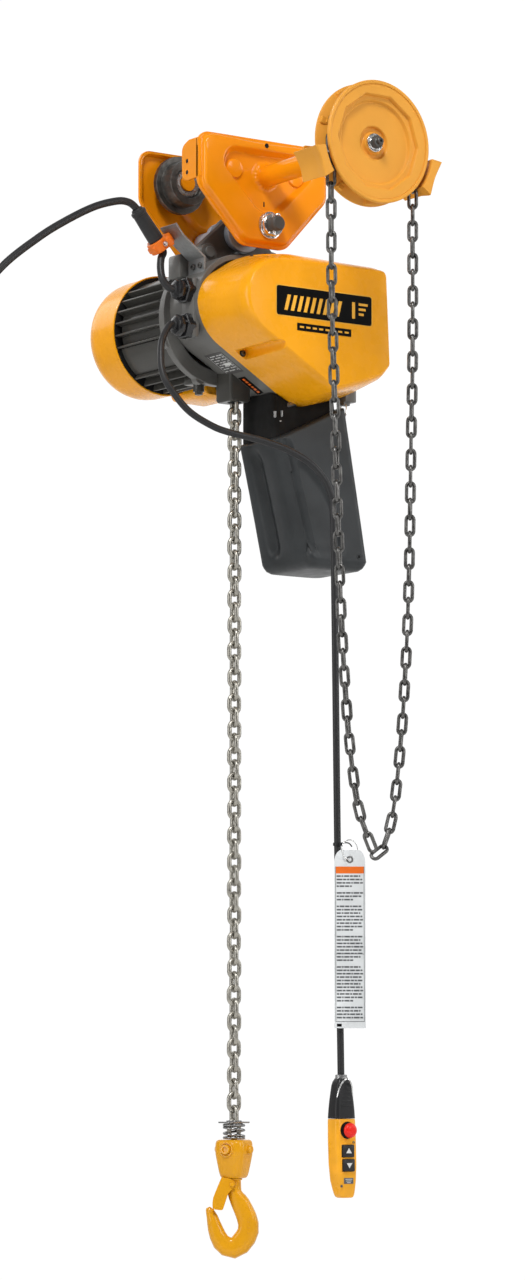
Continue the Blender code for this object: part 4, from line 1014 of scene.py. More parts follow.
def hoist_frame():
    """Cast gear housing with a machined rim and a rounded back, the chain outlet and the motor flange."""
    centre = Vector(BODY_CENTRE)
    outer = inset(by_angle(BODY_CORNERS, centre, BODY_POINTS, 20), centre, 1)
    profile = [(9, PARTING_Y + 8), (9, PARTING_Y + 0.3), (0.8, PARTING_Y + 0.3), (0, PARTING_Y + 1.1),
        (0, -20), (1, 4), (2.2, 16)]
    profile += [(2.2 + 10 * (1 - math.cos(t)), 16 + 12 * math.sin(t))
        for t in radians(15, 35, 55, 75, 90)]
    rings = [at_y(inset(outer, centre, amount), y) for amount, y in profile]
    body = loft(rings)
    shapes = [body]
    for x in (-PIN_X, PIN_X):
        for y0, y1 in ((-18, -8.3), (8.3, 18)):
            outline = rounded(((x - 16, -112, 3), (x + 16, -112, 3), (x + 13.5, -72, 13),
                (x - 13.5, -72, 13)), 8)
            shapes.append(slab(outline, y0, y1))
    shapes.append(block((-96, 8, -112), (34, 36, 40), 5))
    shapes.append(block((-110, -36, -186), (12, 36, 96), 4))
    for _, z in GLANDS:
        shapes.append(lathe([(0, -106), (19.5, -106), (19.5, -115), (18.5, -116), (0, -116)],
            (0, GLAND_Y, z), "x", 40))
    outline = rectangle(-20, 20, -18, 26, 5, 5)
    outlet = loft([at_z(outline, -270), at_z(outline, -318), at_z([p * 0.9 for p in outline], -321.5)])
    show("chain_outlet", outlet, "motor", bevel=0.8, smooth=38)
    show("gear_housing_casting", join(*shapes), "casting", "hoist", "hoist_frame", bevel=0.8,
        smooth=38)
    # dark disc of painted shade across the chain outlet's opening
    mouth_shade = lathe(disc(11.5, -321.4, -321.9), axis="z", segments=36)
    show("chain_mouth_shade", mouth_shade, "hollow")
    flange = lathe([(80, 20), (103, 20), (104, 21), (104, 33.5), (103, 34.5), (84, 34.5)], MOTOR_AXIS,
        segments=96, closed=True)
    lugs = []
    bolts = []
    for angle in (28, 75, 150, 205, 252, 318):
        turn = math.radians(angle)
        spot = Vector((MOTOR_X + 99 * math.cos(turn), 27.5, MOTOR_Z + 99 * math.sin(turn)))
        lugs.append(turned([(0, -6), (10, -6), (10, 7.5), (9, 8.5), (0, 8.5)], spot, (0, 1, 0), 32))
        bolts.append(screw_head(spot + Vector((0, 8.6, 0)), (0, 1, 0), 6.2, 6))
    show("motor_flange", join(flange, *lugs), "casting", bevel=0.5)
    show("motor_flange_bolts", join(*bolts), "dark_steel")


def skirt_frame():
    """Start and directions, along and outwards, of the slanting lower-left side of the housing."""
    a, b = Vector((-92, -249)), Vector((44, -326.5))
    along = (b - a).normalized()
    out = Vector((along.y, -along.x))
    return a, along, out


def data_plate():
    """Grey data panel and a black sticker on the slanting side, both with plain bars only."""
    start, along, out = skirt_frame()
    outer = [Vector((p.x, p.z)) for p in at_y(inset(by_angle(BODY_CORNERS, BODY_CENTRE, 720, 20),
        BODY_CENTRE, 1), 0)]

    def on_skin(s, y, lift):
        """Point a distance along the slanting side at a depth, lifted off the real outline."""
        guess = start + along * s
        near = min(outer, key=lambda p: abs((p - start).dot(along) - s)
            + (1000 if (p - guess).length > 60 else 0))
        spot = near + out * lift
        return Vector((spot.x, y, spot.y))

    def patch(s0, s1, y0, y1, lift):
        steps = 10
        rings = []
        for i in range(steps + 1):
            s = s0 + (s1 - s0) * i / steps
            rings.append([on_skin(s, y0, lift), on_skin(s, y1, lift), on_skin(s, y1, lift - 0.3),
                on_skin(s, y0, lift - 0.3)])
        return loft(rings)

    show("data_panel", patch(28, 80, -50, -4, 0.35), "dark_paint")
    lines = [patch(32, 76, -47.5, -46.9, 0.45), patch(32, 76, -7.5, -6.9, 0.45)]
    for row in range(8):
        s = 33.5 + row * 5.4
        for k in range(4):
            y0 = -45 + 9.4 * k
            width = (7.6, 5.2, 8, 4)[(row + k) % 4]
            lines.append(patch(s, s + 1.6, y0, y0 + width, 0.45))
    lines.append(patch(54, 60, -43, -25, 0.45))
    show("data_bars", join(*lines), "print_pale")
    show("lower_sticker", patch(92, 136, -38, -20, 0.4), "print_black")
    marks = [patch(96 + 6.4 * k, 100.4 + 6.4 * k, -32, -26, 0.55) for k in range(6)]
    show("lower_sticker_marks", join(*marks), "print_orange")


def motor_frame():
    """Finned housing: fins sloped at the front, two smooth pads and a foot with a boss."""
    front, rear = 34.8, MOTOR_RIM_Y + 6
    shapes = [lathe(disc(83, front, rear, 70), MOTOR_AXIS, segments=120, closed=True)]
    fins = 30
    for i in range(fins):
        angle = 360 * (i + 0.5) / fins
        if 200 < angle < 232 or 96 < angle < 132:
            continue
        turn = math.radians(angle)
        out = Vector((math.cos(turn), math.sin(turn)))
        side = Vector((-out.y, out.x))
        middle = Vector((MOTOR_X, MOTOR_Z))
        rings = []
        for y, tip in ((front, 84), (front + 7, 86.5), (front + 18, 95), (front + 22, 96), (rear, 96)):
            foot_a = middle + out * 82 - side * 3
            foot_b = middle + out * 82 + side * 3
            tip_a = middle + out * tip - side * 1.5
            tip_b = middle + out * tip + side * 1.5
            rings.append([Vector((p.x, y, p.y)) for p in (foot_a, tip_a, tip_b, foot_b)])
        shapes.append(loft(rings))
    for first, last in ((200, 232), (98, 130)):
        outline = []
        steps = 14
        for radius, a, b in ((82, first, last), (89.5, last, first)):
            for k in range(steps + 1):
                turn = math.radians(a + (b - a) * k / steps)
                outline.append(Vector((MOTOR_X + radius * math.cos(turn),
                    MOTOR_Z + radius * math.sin(turn))))
        shapes.append(slab(outline, front, rear))
    turn = math.radians(262)
    foot = Vector((MOTOR_X + 92 * math.cos(turn), 60, MOTOR_Z + 92 * math.sin(turn)))
    shapes.append(block(foot, (30, 34, 16), 3))
    shapes.append(turned(disc(9, 0, 14), foot + Vector((0, -6, -6)), (0, 0, -1), 32))
    show("motor_housing_fins", join(*shapes), "motor", "hoist", "motor_frame", bevel=0.7)
    show("motor_foot_bolt", hex_head(foot + Vector((0, -6, -20)), (0, 0, -1), 6.5, 5), "dark_steel")


def rear_cover():
    """Spun fan cover with a rolled rim, an open grille of rings and spokes, and a side box whose vents
    are dark slats of painted shade.
    """
    rim_y = MOTOR_RIM_Y + 4
    outer = [(96.5, rim_y), (98, rim_y - 0.6), (99.4, rim_y + 0.4), (99.4, rim_y + 3),
        (98.2, rim_y + 4.4), (98.2, rim_y + 44), (98, 234), (97, 243), (94.4, 251), (90, 258.4),
        (84, 264.2), (76, 268.4), (68, 270.8), (60, 271.8)]
    inner = [(60, 269.8), (67.4, 268.8), (75, 266.4), (82.6, 262.6), (88, 257.2), (92.2, 250.4),
        (94.8, 242.6), (95.8, 234), (96, rim_y + 44)]
    shapes = [lathe(outer + inner, MOTOR_AXIS, segments=120, closed=True)]
    for radius in (54, 44, 34):
        shapes.append(lathe(disc(radius + 2.4, 269.6, 271.6, radius - 2.4), MOTOR_AXIS, segments=96,
            closed=True))
    shapes.append(lathe([(0, 269.6), (25, 269.6), (25, 271), (23.5, 271.8), (0, 272)], MOTOR_AXIS,
        segments=72))
    for i in range(8):
        turn = Matrix.Rotation(math.pi / 4 * i, 4, "Y")
        middle = Vector((MOTOR_X, 270, MOTOR_Z)) + turn @ Vector((43.5, 0, 0))
        shapes.append(block(middle, (42, 2, 5), 0.6, turn))
    corners = ((16, -291, 10), (84, -293, 14), (96, -280, 14), (98, -212, 16), (60, -200, 6),
        (16, -260, 4))
    outline = rounded(corners, 8)
    middle = Vector((62, -262))
    rings = []
    for y, shrink in ((109.5, 6), (108, 4.5), (108, 1.5), (109.5, 0), (204, 0), (209.5, 1.8), (212, 6)):
        rings.append(at_y([p + (middle - p).normalized() * shrink for p in outline], y))
    shapes.append(loft(rings))
    show("rear_cover_spun", join(*shapes), "yellow", "hoist", "rear_cover", smooth=36)
    # dark slats of painted shade stand in for the shaded inside of the side box's vents
    vent_shades = []
    for k in range(5):
        vent_shades.append(block((62, 107.8, -280 + 13 * k), (50 if k < 4 else 40, 1.2, 7), 0.5))
    show("side_box_vent_shades", join(*vent_shades), "hollow")
    # dark ring of painted shade that hides the see-through gap between the motor housing and the cover
    gap_shade_ring = lathe(disc(96.3, MOTOR_RIM_Y + 2, MOTOR_RIM_Y + 9, 78), MOTOR_AXIS, segments=96, closed=True)
    show("rear_cover_gap_shade", gap_shade_ring, "hollow")


def suspender():
    """Plate that hangs on the suspension shaft, with the two pins that carry the hoist."""
    corners = ((-17, -24, 20), (17, -24, 20), (78, -78, 14), (70, -99, 13), (46, -98, 10), (0, -76, 16),
        (-46, -98, 10), (-70, -99, 13), (-78, -78, 14))
    outline = rounded(corners, 8)
    shapes = [slab(outline, -8, 8)]
    for x in (-PIN_X, PIN_X):
        shapes.append(lathe(disc(13.5, -8.2, 8.2), (x, 0, PIN_Z), segments=40))
    shapes.append(lathe(disc(20, -8.2, 8.2), SHAFT_AXIS, segments=48))
    show("suspender_plate", join(*shapes), "casting", "hoist", "suspender", bevel=1.2)
    for name, x in (("suspender_pin_left", -PIN_X), ("suspender_pin_right", PIN_X)):
        profile = [(0, -23), (8.2, -23), (9.4, -21.8), (9.4, -18.3), (7, -18.2), (7, 22), (0, 22.4)]
        show(name + "_turned", lathe(profile, (x, 0, PIN_Z), segments=40), "casting", "hoist", name)


def inner_works():
    """Pieces that the covers hide keep their CAD shape."""
    for node, material in (("stator", "copper"), ("rotor", "dark_steel"), ("fan", "black"),
            ("load_sheave", "dark_steel"), ("load_gear", "dark_steel"), ("control_board", "green")):
        dress(node, material, 0.4 if node in ("fan", "stator") else 0)


def oil_plug():
    """Oil plug and the round disc beside it, under the housing."""
    profile = [(0, -338), (4.8, -338), (6, -336.6), (6, -335), (12, -335), (13, -334), (13, -331.5),
        (0, -331.5)]
    show("oil_plug_turned", lathe(profile, (84, -40, 0), "z", 40), "bare_steel", "hoist", "oil_plug")
    disc = turned([(0, 0), (13, 0), (15, 1.2), (15, 6), (13, 7.4), (11.5, 7.4), (10.5, 5.6), (6, 5.6),
        (5, 8), (0, 8)], (63, -58, -327.5), (0.25, -0.35, -1), 40)
    show("drain_disc", disc, "bare_steel")


def glands():
    """Cable glands: a hexagon body, a ribbed dome nut and a rubber lip round the cable."""
    for name, z in GLANDS:
        centre = (0, GLAND_Y, z)
        flat = lathe([(7.5, -112.3), (21.2, -112.3), (21.8, -113), (21.8, -124.6), (20.2, -126.4),
            (7.5, -126.4)], centre, "x", 6, True)
        collar = lathe(disc(15, -126, -129, 7.5), centre, "x", 40, True)
        nut = lathe([(7.2, -128.6), (17, -128.6), (17.4, -129.4), (17.4, -135), (15, -139.4), (11, -141),
            (7.2, -141)], centre, "x", 8, True)
        show(name + "_body", join(flat, collar), "gland_black", "hoist", name, bevel=0.5)
        show(name + "_nut", nut, "gland_black", bevel=0.8)
        lip = lathe([(5.8, -138), (8.4, -138), (8.4, -141.6), (7.4, -143.2), (5.8, -143.2)], centre, "x",
            32, True)
        show(name + "_lip", lip, "rubber")


def container():
    """Blow-moulded chain bag: leaning body, fluted left side, creased front, set-back neck drawn
    near-black as painted shade.
    """

    def lip(x):
        return -336 - (118 - x) * 0.48

    def roof(x):
        return -330 + max(0, x - 78) * 0.28 + max(0, 72 - x) * 0.45

    rows = 40
    around = 160

    def outline(x0, x1, y0, y1, radius):
        return [spot for spot, _, _ in even_steps(rectangle(x0, x1, y0, y1, radius), around)]

    neck = []
    for x0, x1, y0, y1, drop in ((40, 141, -58, 22, 2), (34, 147, -62, 26, 2), (31, 150, -66, 28, 1),
            (31, 151, -70, 29, -2)):
        neck.append([Vector((p.x, p.y, roof(p.x) + drop)) for p in outline(x0, x1, y0, y1, 12)])
    for x0, x1, y0, y1, drop in ((31, 151, -72, 29, -4), (32, 151, -72, 29, -10)):
        neck.append([Vector((p.x, p.y, min(lip(p.x), roof(p.x) - 2) + drop))
            for p in outline(x0, x1, y0, y1, 12)])
    # the neck takes the near-black shade material: painted shade for the shadow it sits in under the
    # housing
    show("bag_neck_in_shade", loft(neck), "hollow", smooth=50)
    rings = []
    for x0, x1, y0, y1, drop in ((40, 136, -58, 24, -7.5), (32, 149, -86, 28, -6.6),
            (29, 152.6, -92.6, 30.2, -7.6), (28.2, 153.6, -94.6, 30.8, -9.4)):
        rings.append([Vector((p.x, p.y, lip(p.x) + drop)) for p in outline(x0, x1, y0, y1, 10)])
    for row in range(rows + 1):
        share = row / rows
        x0, x1 = 28 + 53 * share, 154 + 43 * share
        y1 = 31 + 14 * share
        ring = []
        for p in outline(x0, x1, -95, y1, 10):
            top = lip(p.x - 52 * share * 0.6) - 11.5
            z = top + (-575 - top) * share
            ring.append(container_relief(Vector((p.x, p.y, z)), x0, y1, share))
        rings.append(ring)
    for x0, x1, y0, y1, z in ((82, 196.2, -94.2, 44.2, -580), (85, 193.4, -91.4, 41.4, -585.6),
            (90, 189, -86, 36, -589.4), (100, 180, -76, 26, -591)):
        rings.append([Vector((p.x, p.y, z)) for p in outline(x0, x1, y0, y1, 13)])
    show("chain_bag", loft(rings), "container", "hoist", "chain_container", smooth=50)
    # dark disc of painted shade in the hole
    hole_shade = lathe(disc(2.6, -95.4, -95), (177, 0, -568), "y", 24)
    edge = lathe([(2.6, -95.9), (3.6, -95.9), (4, -95.2), (2.6, -95.2)], (177, 0, -568), "y", 24, True)
    show("bag_hole_shade", hole_shade, "hollow")
    show("bag_hole_edge", edge, "container")
    studs = [turned([(0, 0), (2.2, 0), (2.2, 9), (1.6, 10), (0, 10)], place, (0, 0, -1), 20)
        for place in ((30, -70, -342), (43, -70, -340))]
    nut = block((43, -70, -357), (8, 2.4, 2), 0.6)
    show("bag_studs", join(*studs, nut), "bare_steel")
    hanger = join(block((163, -84, -306), (22, 20, 24), 2), block((158, -84, -320), (13, 12, 7), 1.5))
    show("bag_hanger_boss", hanger, "casting")
    loop = [Vector((154 + 2 * math.sin(a), -84 + 9 * math.cos(a), -334 + 15 * math.sin(a)))
        for a in circle(40)]
    show("bag_hanger_wire", sweep(loop, 1.1, 10, True), "bright")


def container_relief(spot, x0, y1, share):
    """Upright flutes on the left side and beside the front edge, and a curved crease on the front."""
    fade = smoothstep(share * 6) * smoothstep((1 - share) * 7)
    if spot.x < x0 + 6:
        across = (y1 - spot.y) / (y1 + 95)
        deep = math.exp(-((across - 0.31) / 0.075) ** 2)
        spot.x += fade * (13 * deep
            + 4 * smoothstep((0.66 - across) / 0.3) * smoothstep((across - 0.3) / 0.1)
            + 8 * smoothstep((across - 0.70) / 0.28))
    if spot.y < -88:
        from_left = spot.x - x0
        spot.y += 9 * fade * smoothstep((15 - from_left) / 4)
        bow = 20 + 48 * math.sin(min(1, max(0, (share - 0.2) / 0.5)) * math.pi / 2)
        soft = smoothstep((share - 0.16) / 0.12)
        crease = 1 - smoothstep((from_left - bow) / 12 + 0.5)
        spot.y += 7 * fade * soft * crease * smoothstep((from_left - 15) / 4)
    return spot


# ---------------------------------------------------------------- hook block

LIMIT_PLATE_Z = -1469
YOKE_TOP_Z = -1496
SPRING_TURNS = 4.2
SPRING_RADIUS = 16
YOKE_BOTTOM_Z = -1556
HOOK_BOTTOM_Z = -1682
HOOK_TURN = math.radians(-35)
YOKE_TURN = math.radians(27)
HOOK_PATH = ((0, 127, 10, 10), (0, 118, 10.4, 10.2), (0, 111, 10.6, 10.5), (0.6, 104, 10.8, 10.5),
    (3.2, 97.5, 11.8, 10.5), (6.6, 92, 13.4, 10.5), (10.2, 86, 14.4, 11), (14.6, 77, 15, 11.5),
    (19.4, 66, 15.6, 12), (22.4, 55, 16, 12.5), (22.2, 44, 16.4, 12.5), (18, 34, 16.8, 12.5),
    (9.5, 23.5, 17, 12.5), (-1, 17.5, 16.5, 12.5), (-11.5, 20, 15.4, 12), (-20, 27, 14, 11.5),
    (-25.2, 37, 12.8, 10.8), (-29, 48, 11.5, 10), (-31.6, 57, 10, 9), (-34, 66, 8.5, 8),
    (-37, 73, 6.6, 6.4), (-39.5, 78, 4.6, 4.6), (-40.6, 80.4, 2.6, 2.6))
LATCH_PIVOT = (-3, 116)


def hook_space(u, v, z):
    """Point in the plane of the hook (u sideways, v across) at a height above its lowest point."""
    return Vector((u * math.cos(HOOK_TURN) - v * math.sin(HOOK_TURN),
        u * math.sin(HOOK_TURN) + v * math.cos(HOOK_TURN), HOOK_BOTTOM_Z + z))


def hook_slab(outline, v0, v1):
    return loft([[hook_space(p.x, v, p.y) for p in outline] for v in (v0, v1)])


def hook():
    """Forged hook: thick rounded inner side, flatter outer band with a flash line, collar and stem."""
    rings = []
    sides = 32
    spots = [Vector(spot[:2]) for spot in HOOK_PATH]
    for i, (u, z, width, depth) in enumerate(HOOK_PATH):
        ahead = spots[min(i + 1, len(spots) - 1)]
        behind = spots[max(i - 1, 0)]
        along = (ahead - behind).normalized()
        across = Vector((-along.y, along.x))
        ring = []
        for k in range(sides):
            turn = 2 * math.pi * k / sides
            a = math.cos(turn)
            b = math.sin(turn)
            flat = 0.35 * smoothstep((width - 11) / 5)
            a = math.copysign(abs(a) ** (1 - flat * 0.6), a)
            b = math.copysign(abs(b) ** (1 - flat), b)
            lean = 1 + 0.10 * flat / 0.35 * (a if width > 11 else 0)
            edge = 0.7 * math.exp(-(b / 0.10) ** 2) if a > 0 else 0
            ring.append(hook_space(u + across.x * (a * width + edge), b * depth * lean,
                z + across.y * (a * width + edge)))
        rings.append(ring)
    collar = lathe([(0, 110), (10, 110), (10, 122), (12.5, 123), (13.4, 124.2), (13.4, 125.2),
        (10.2, 126), (10.2, 139), (15, 139), (15, 149), (0, 149)], (0, 0, HOOK_BOTTOM_Z), "z", 48)
    ears = []
    u, z = LATCH_PIVOT
    across = hook_space(0, 1, 0) - hook_space(0, 0, 0)
    for v in (-11, 8.4):
        ears.append(turned([(0, 0), (6.6, 0), (7.2, 0.6), (7.2, 2), (6.6, 2.6), (0, 2.6)],
            hook_space(u, v, z), across, 32))
    show("hook_forging", join(loft(rings), collar, *ears), "hook_yellow", "load_hook", "hook",
        smooth=42)
    marks = [block(hook_space(23.5, -12.6, 42 + 9 * k), (4, 0.8, 5.5), 0.3,
        Matrix.Rotation(HOOK_TURN, 4, "Z")) for k in range(3)]
    show("hook_inspection_marks", join(*marks), "hook_yellow", "load_hook")


def hook_latch():
    """Pressed latch: a bent sheet with two cheeks, a rolled tip and a return spring on its pin."""
    outer = rounded(((-19, 128, 3), (-3, 125, 8), (4, 118, 6), (-3.6, 108, 5), (-9, 102, 5),
        (-17.5, 76, 4), (-31, 77.5, 3), (-33, 95, 9)), 6)
    shapes = [hook_slab(outer, v, v + 2) for v in (-14.6, 12.6)]
    ridge = ((-19.5, 127.3, 0), (-25.5, 113.5, 0), (-31.6, 98, 0), (-33.6, 88, 0), (-33.2, 76.6, 0))
    rings = []
    for x, z, _ in smooth_path(ridge):
        rings.append([hook_space(x, -14.4, z), hook_space(x, 14.4, z), hook_space(x + 2, 14.4, z - 0.4),
            hook_space(x + 2, -14.4, z - 0.4)])
    shapes.append(loft(rings))
    tip = hook_space(-32.4, 0, 76.6)
    origin = hook_space(0, 0, 0)
    lip = [tip + (hook_space(0, v, 0) - origin) for v in (-14.4, -7, 0, 7, 14.4)]
    shapes.append(sweep(lip, 1.6, 12))
    show("hook_latch_sheet", join(*shapes), "hook_yellow", "safety_latch", "hook_latch",
        bevel=0.4)
    across = hook_space(0, 1, 0) - origin
    pivot = hook_space(LATCH_PIVOT[0], 0, LATCH_PIVOT[1])
    pin = lathe([(0, -17), (2.6, -17), (3.8, -16.2), (3.8, -15.2), (2, -14.9), (2, 14.9), (3.8, 15.2),
        (3.8, 16.2), (2.6, 17), (0, 17)], axis="z", segments=28)
    show("latch_rivet", aim(pin, pivot, across), "hook_yellow", "load_hook", "latch_pin")
    coil = []
    for i in range(61):
        turn = 2 * math.pi * 5 * i / 60
        coil.append(pivot + across * (-8.2 + 16.4 * i / 60)
            + (hook_space(math.cos(turn), 0, math.sin(turn)) - origin) * 4.6)
    show("latch_spring", sweep(coil, 0.8, 8), "bare_steel", "load_hook")


def hook_block():
    """Cast suspension shell with a recessed cross bolt and two pin ends; its parting line is not drawn.
    """
    turn = Matrix.Rotation(YOKE_TURN, 2)

    def section(half, z):
        r = half * 0.55
        outline = rectangle(-half, half, -half, half, r, 8)
        return [Vector((*(turn @ p), z)) for p in outline]

    rings = [section(9.5, YOKE_TOP_Z - 6), section(9.5, YOKE_TOP_Z), section(20.5, YOKE_TOP_Z),
        section(22.6, YOKE_TOP_Z - 0.8), section(24.4, YOKE_TOP_Z - 3), section(25.2, YOKE_TOP_Z - 7),
        section(25.5, YOKE_TOP_Z - 18), section(25, YOKE_TOP_Z - 24), section(22.6, YOKE_TOP_Z - 38),
        section(20.4, YOKE_TOP_Z - 50), section(18.6, YOKE_BOTTOM_Z + 3.4),
        section(16.8, YOKE_BOTTOM_Z + 0.8), section(15, YOKE_BOTTOM_Z), section(10.6, YOKE_BOTTOM_Z),
        section(10.6, YOKE_BOTTOM_Z + 8)]
    front = Vector((-math.cos(YOKE_TURN), -math.sin(YOKE_TURN), 0))
    side = Vector((-front.y, front.x, 0))
    spot = Vector((0, 0, YOKE_TOP_Z - 15))
    boss = [turned([(9, 24), (12.4, 24), (12.4, 26.2), (11.4, 27.2), (9.6, 27.2), (9, 26.4)], spot, front,
        40, closed=True)]
    for sign in (-1, 1):
        boss.append(turned([(0, 23.5), (9.8, 23.5), (9.8, 25.4), (9, 26), (0, 26)], spot, side * sign,
            40))
    show("hook_block_shell", join(loft(rings), *boss), "hook_yellow", "hook_block", "hook_yoke",
        bevel=0.4, smooth=42)
    head = turned([(0, 12), (4, 12), (4, 25.6), (7.6, 25.6), (7.6, 30.2), (6.8, 31), (4.6, 31),
        (4.4, 28.8), (0, 28.8)], spot, front, 40)
    show("cross_bolt", head, "hook_yellow", "hook_block", "yoke_bolt")
    pin = turned([(0, -32), (5.2, -32), (6.6, -30.8), (6.8, -26.2), (4, -25.8), (4, 25.8), (6.8, 26.2),
        (6.6, 30.8), (5.2, 32), (0, 32)], spot, side, 36)
    show("chain_pin_turned", pin, "hook_yellow", "hook_block", "chain_pin")


def spring_and_plate():
    """Limit plate with its collar, and the open coil spring under it, given a mesh of its own."""
    plate = rectangle(-21, 21, -16, 16, 4, 6)
    rings = [at_z(plate, LIMIT_PLATE_Z - 1.25), at_z(plate, LIMIT_PLATE_Z + 1.25)]
    ring = lathe([(9.6, 1.25), (12.4, 1.25), (12.4, 2.6), (11.2, 3.2), (9.6, 3.2)], (0, 0, LIMIT_PLATE_Z),
        "z", 40, True)
    show("limit_disc", join(loft(rings), ring), "bare_steel", "limit_stop", "limit_plate",
        bevel=0.4)
    top = LIMIT_PLATE_Z - 1.25 - 2.2
    bottom = YOKE_TOP_Z + 2.2
    path = []
    steps = 130
    for i in range(steps + 1):
        share = i / steps
        climb = (smoothstep((share - 0.14) / 0.72) * 0.93 + 0.035 * min(1, share / 0.14)
            + 0.035 * max(0, (share - 0.86) / 0.14))
        turn = 2 * math.pi * SPRING_TURNS * share
        path.append(Vector((SPRING_RADIUS * math.cos(turn), SPRING_RADIUS * math.sin(turn),
            top + (bottom - top) * climb)))
    spring = show("buffer_spring", sweep(path, 2, 12), "spring_steel", "hook_block", "chain_spring",
        smooth=60)
    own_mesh(spring)


# ---------------------------------------------------------------- cables

POWER_CABLE_RADIUS = 6
POWER_ROUTE = ((-163, -20, -82), (-184, -20, -55), (-205, -20, -31), (-222, -20, -24), (-245, -20, -27),
    (-284, -20, -41), (-335, -20, -69), (-385, -20, -102), (-450, -20, -155), (-500, -20, -220),
    (-525, -20, -310), (-530, -20, -450), (-530, -20, -700), (-530, -20, -1000))
GLAND_ROUTE = ((-142.2, -36, -158), (-150.5, -34.5, -156), (-159, -30.5, -144), (-160, -25.5, -126),
    (-156.5, -21.5, -108), (-151.5, -20, -95.9))
PENDANT_CABLE_RADIUS = 5.5
PENDANT_ROUTE = ((-142.2, -36, -215), (-151.5, -37.5, -218), (-170, -46, -243), (-178.5, -55, -270),
    (-181, -63, -297), (-174, -72, -322), (-148, -86, -359), (-113, -100, -382), (-84, -110, -392),
    (-40, -121, -400), (5, -134, -413), (45, -144, -433), (70, -149, -458), (81, -151.5, -482),
    (85, -152, -512), (88, -152, -700), (92, -152, -1032), (96, -152, -1278), (98, -152, -1402))


def run_cord(name, route, radius, exit_place, replaced):
    path = smooth_path(route)
    cord = show(name, sweep(path, radius, 20), "cable", "hoist", replaced, smooth=70)
    tuple(v * MM for v in exit_place)
    route_length(path) * MM


def power_plug():
    """Moulded plug: ribbed taper on the cable, waisted grip, face plate, two blades and an earth pin."""
    x, y, z = POWER_ROUTE[-1]
    profile = [(6.2, z + 2), (8.2, z + 1)]
    for k in range(6):
        r = 8.6 + 0.5 * k
        profile += [(r, z - 1 - 4.6 * k), (r, z - 3.4 - 4.6 * k), (r - 1.5, z - 3.8 - 4.6 * k),
            (r - 1.2, z - 5.2 - 4.6 * k)]
    profile += [(13.5, z - 29.5), (18.4, z - 34), (19.4, z - 37), (18.4, z - 48), (18.8, z - 56),
        (21.2, z - 61), (21.2, z - 65), (20.2, z - 66), (6.2, z - 66)]
    shape = lathe(profile, (x, y, 0), "z", 64, True)
    ribs = [block((x + 18.6 * math.cos(a), y + 18.6 * math.sin(a), z - 47), (3, 3, 16), 1.2,
        Matrix.Rotation(a, 4, "Z")) for a in (math.pi * k / 6 for k in range(12))]
    body = show("plug_moulding", join(shape, *ribs), "rubber", "hoist", "power_plug", bevel=0.4)
    blades = [block((x + dx, y, z - 75), (1.8, 6.6, 19.6), 0.6) for dx in (-7, 7)]
    pin = lathe([(0, z - 64), (2.4, z - 64), (2.4, z - 85), (1.6, z - 86.6), (0, z - 87)], (x, y + 9, 0),
        "z", 24)
    pins = show("plug_blades", join(*blades, pin), "bright")
    return body, pins


def cable_support():
    """Folded bracket, a saddle clamp with two screws and a collared anti-kink sleeve."""
    strip = [Vector(p) for p in ((-99, -129), (-99, -105), (-139.5, -75), (-153.5, -58), (-151.2, -56.2),
        (-137.6, -72.6), (-96, -103.4), (-96, -129))]
    shape = slab(strip, -58, -14)
    flange = rounded(((-151.5, -57.5, 1), (-137.8, -73.6, 3), (-99, -102.5, 3), (-96.6, -127, 2),
        (-96.2, -104, 3), (-136, -71, 6), (-150, -55.4, 1)), 4)
    side = slab(flange, -16.5, -14.2)
    show("bracket_sheet", join(shape, side), "galvanised", "hoist", "cable_bracket", bevel=0.5)
    screws = [screw_head((-99.2, y, -117), (-1, 0, 0), 4.9, 3.4) for y in (-29, -48)]
    show("bracket_screws", join(*screws), "dark_steel")
    route = [Vector(p) for p in POWER_ROUTE[:3]]
    along = (route[2] - route[0]).normalized()
    normal = Vector((along.z, 0, -along.x))
    across = Vector((0, 1, 0))
    middle = route[0] - along * 6
    turn = Matrix((normal, across, along)).transposed().to_4x4()
    ring = turned([(8.4, -9), (16.6, -9), (17.8, -7.8), (17.8, 7.8), (16.6, 9), (8.4, 9)], middle, along,
        56, closed=True)
    parts = [ring]
    for sign in (-1, 1):
        parts.append(block(middle + across * sign * 20.5 + normal * 4, (10.5, 15, 17.4), 2.4, turn))
    parts.append(block(middle + normal * 15.5, (13.6, 25, 17.4), 2.2, turn))
    parts.append(block(middle - normal * 15.8, (5, 20, 10), 2, turn))
    show("saddle_clamp", join(*parts), "clamp_orange", "hoist", "cable_clamp", bevel=0.4)
    screws = [screw_head(middle + across * sign * 21.5 - normal * 1.4, -normal, 4.4, 3.4)
        for sign in (-1, 1)]
    show("clamp_screws", join(*screws), "zinc")
    start = middle + along * 9.4
    profile = [(6.6, 0), (12.4, 0), (12.6, 1), (12.5, 12), (12, 30), (11.5, 47), (11.4, 48.4), (12.2, 49),
        (12.5, 50), (12.5, 54), (11.8, 55.2), (9.8, 55.8), (9.2, 58), (8.4, 59.2), (6.6, 59.2)]
    shape = turned(profile, start, along, 56, closed=True)
    show("anti_kink_sleeve", shape, "rubber", "hoist", "cable_sleeve", smooth=36)


def cables():
    """Supply cable with its plug, and the cable down to the pendant."""
    body, pins = power_plug()
    run_cord("power_cable_sheath", GLAND_ROUTE + POWER_ROUTE, POWER_CABLE_RADIUS, GLAND_ROUTE[0],
        "power_cable")
    run_cord("pendant_cable_sheath", PENDANT_ROUTE, PENDANT_CABLE_RADIUS, PENDANT_ROUTE[0],
        "pendant_cable")


# ---------------------------------------------------------------- pendant and tag

PENDANT_X = 98.5
PENDANT_Y = -152
PENDANT_TOP_Z = -1402
PENDANT_SEAM_Z = -1462
PENDANT_BOTTOM_Z = -1592
PENDANT_FACE_Y = PENDANT_Y - 14.5


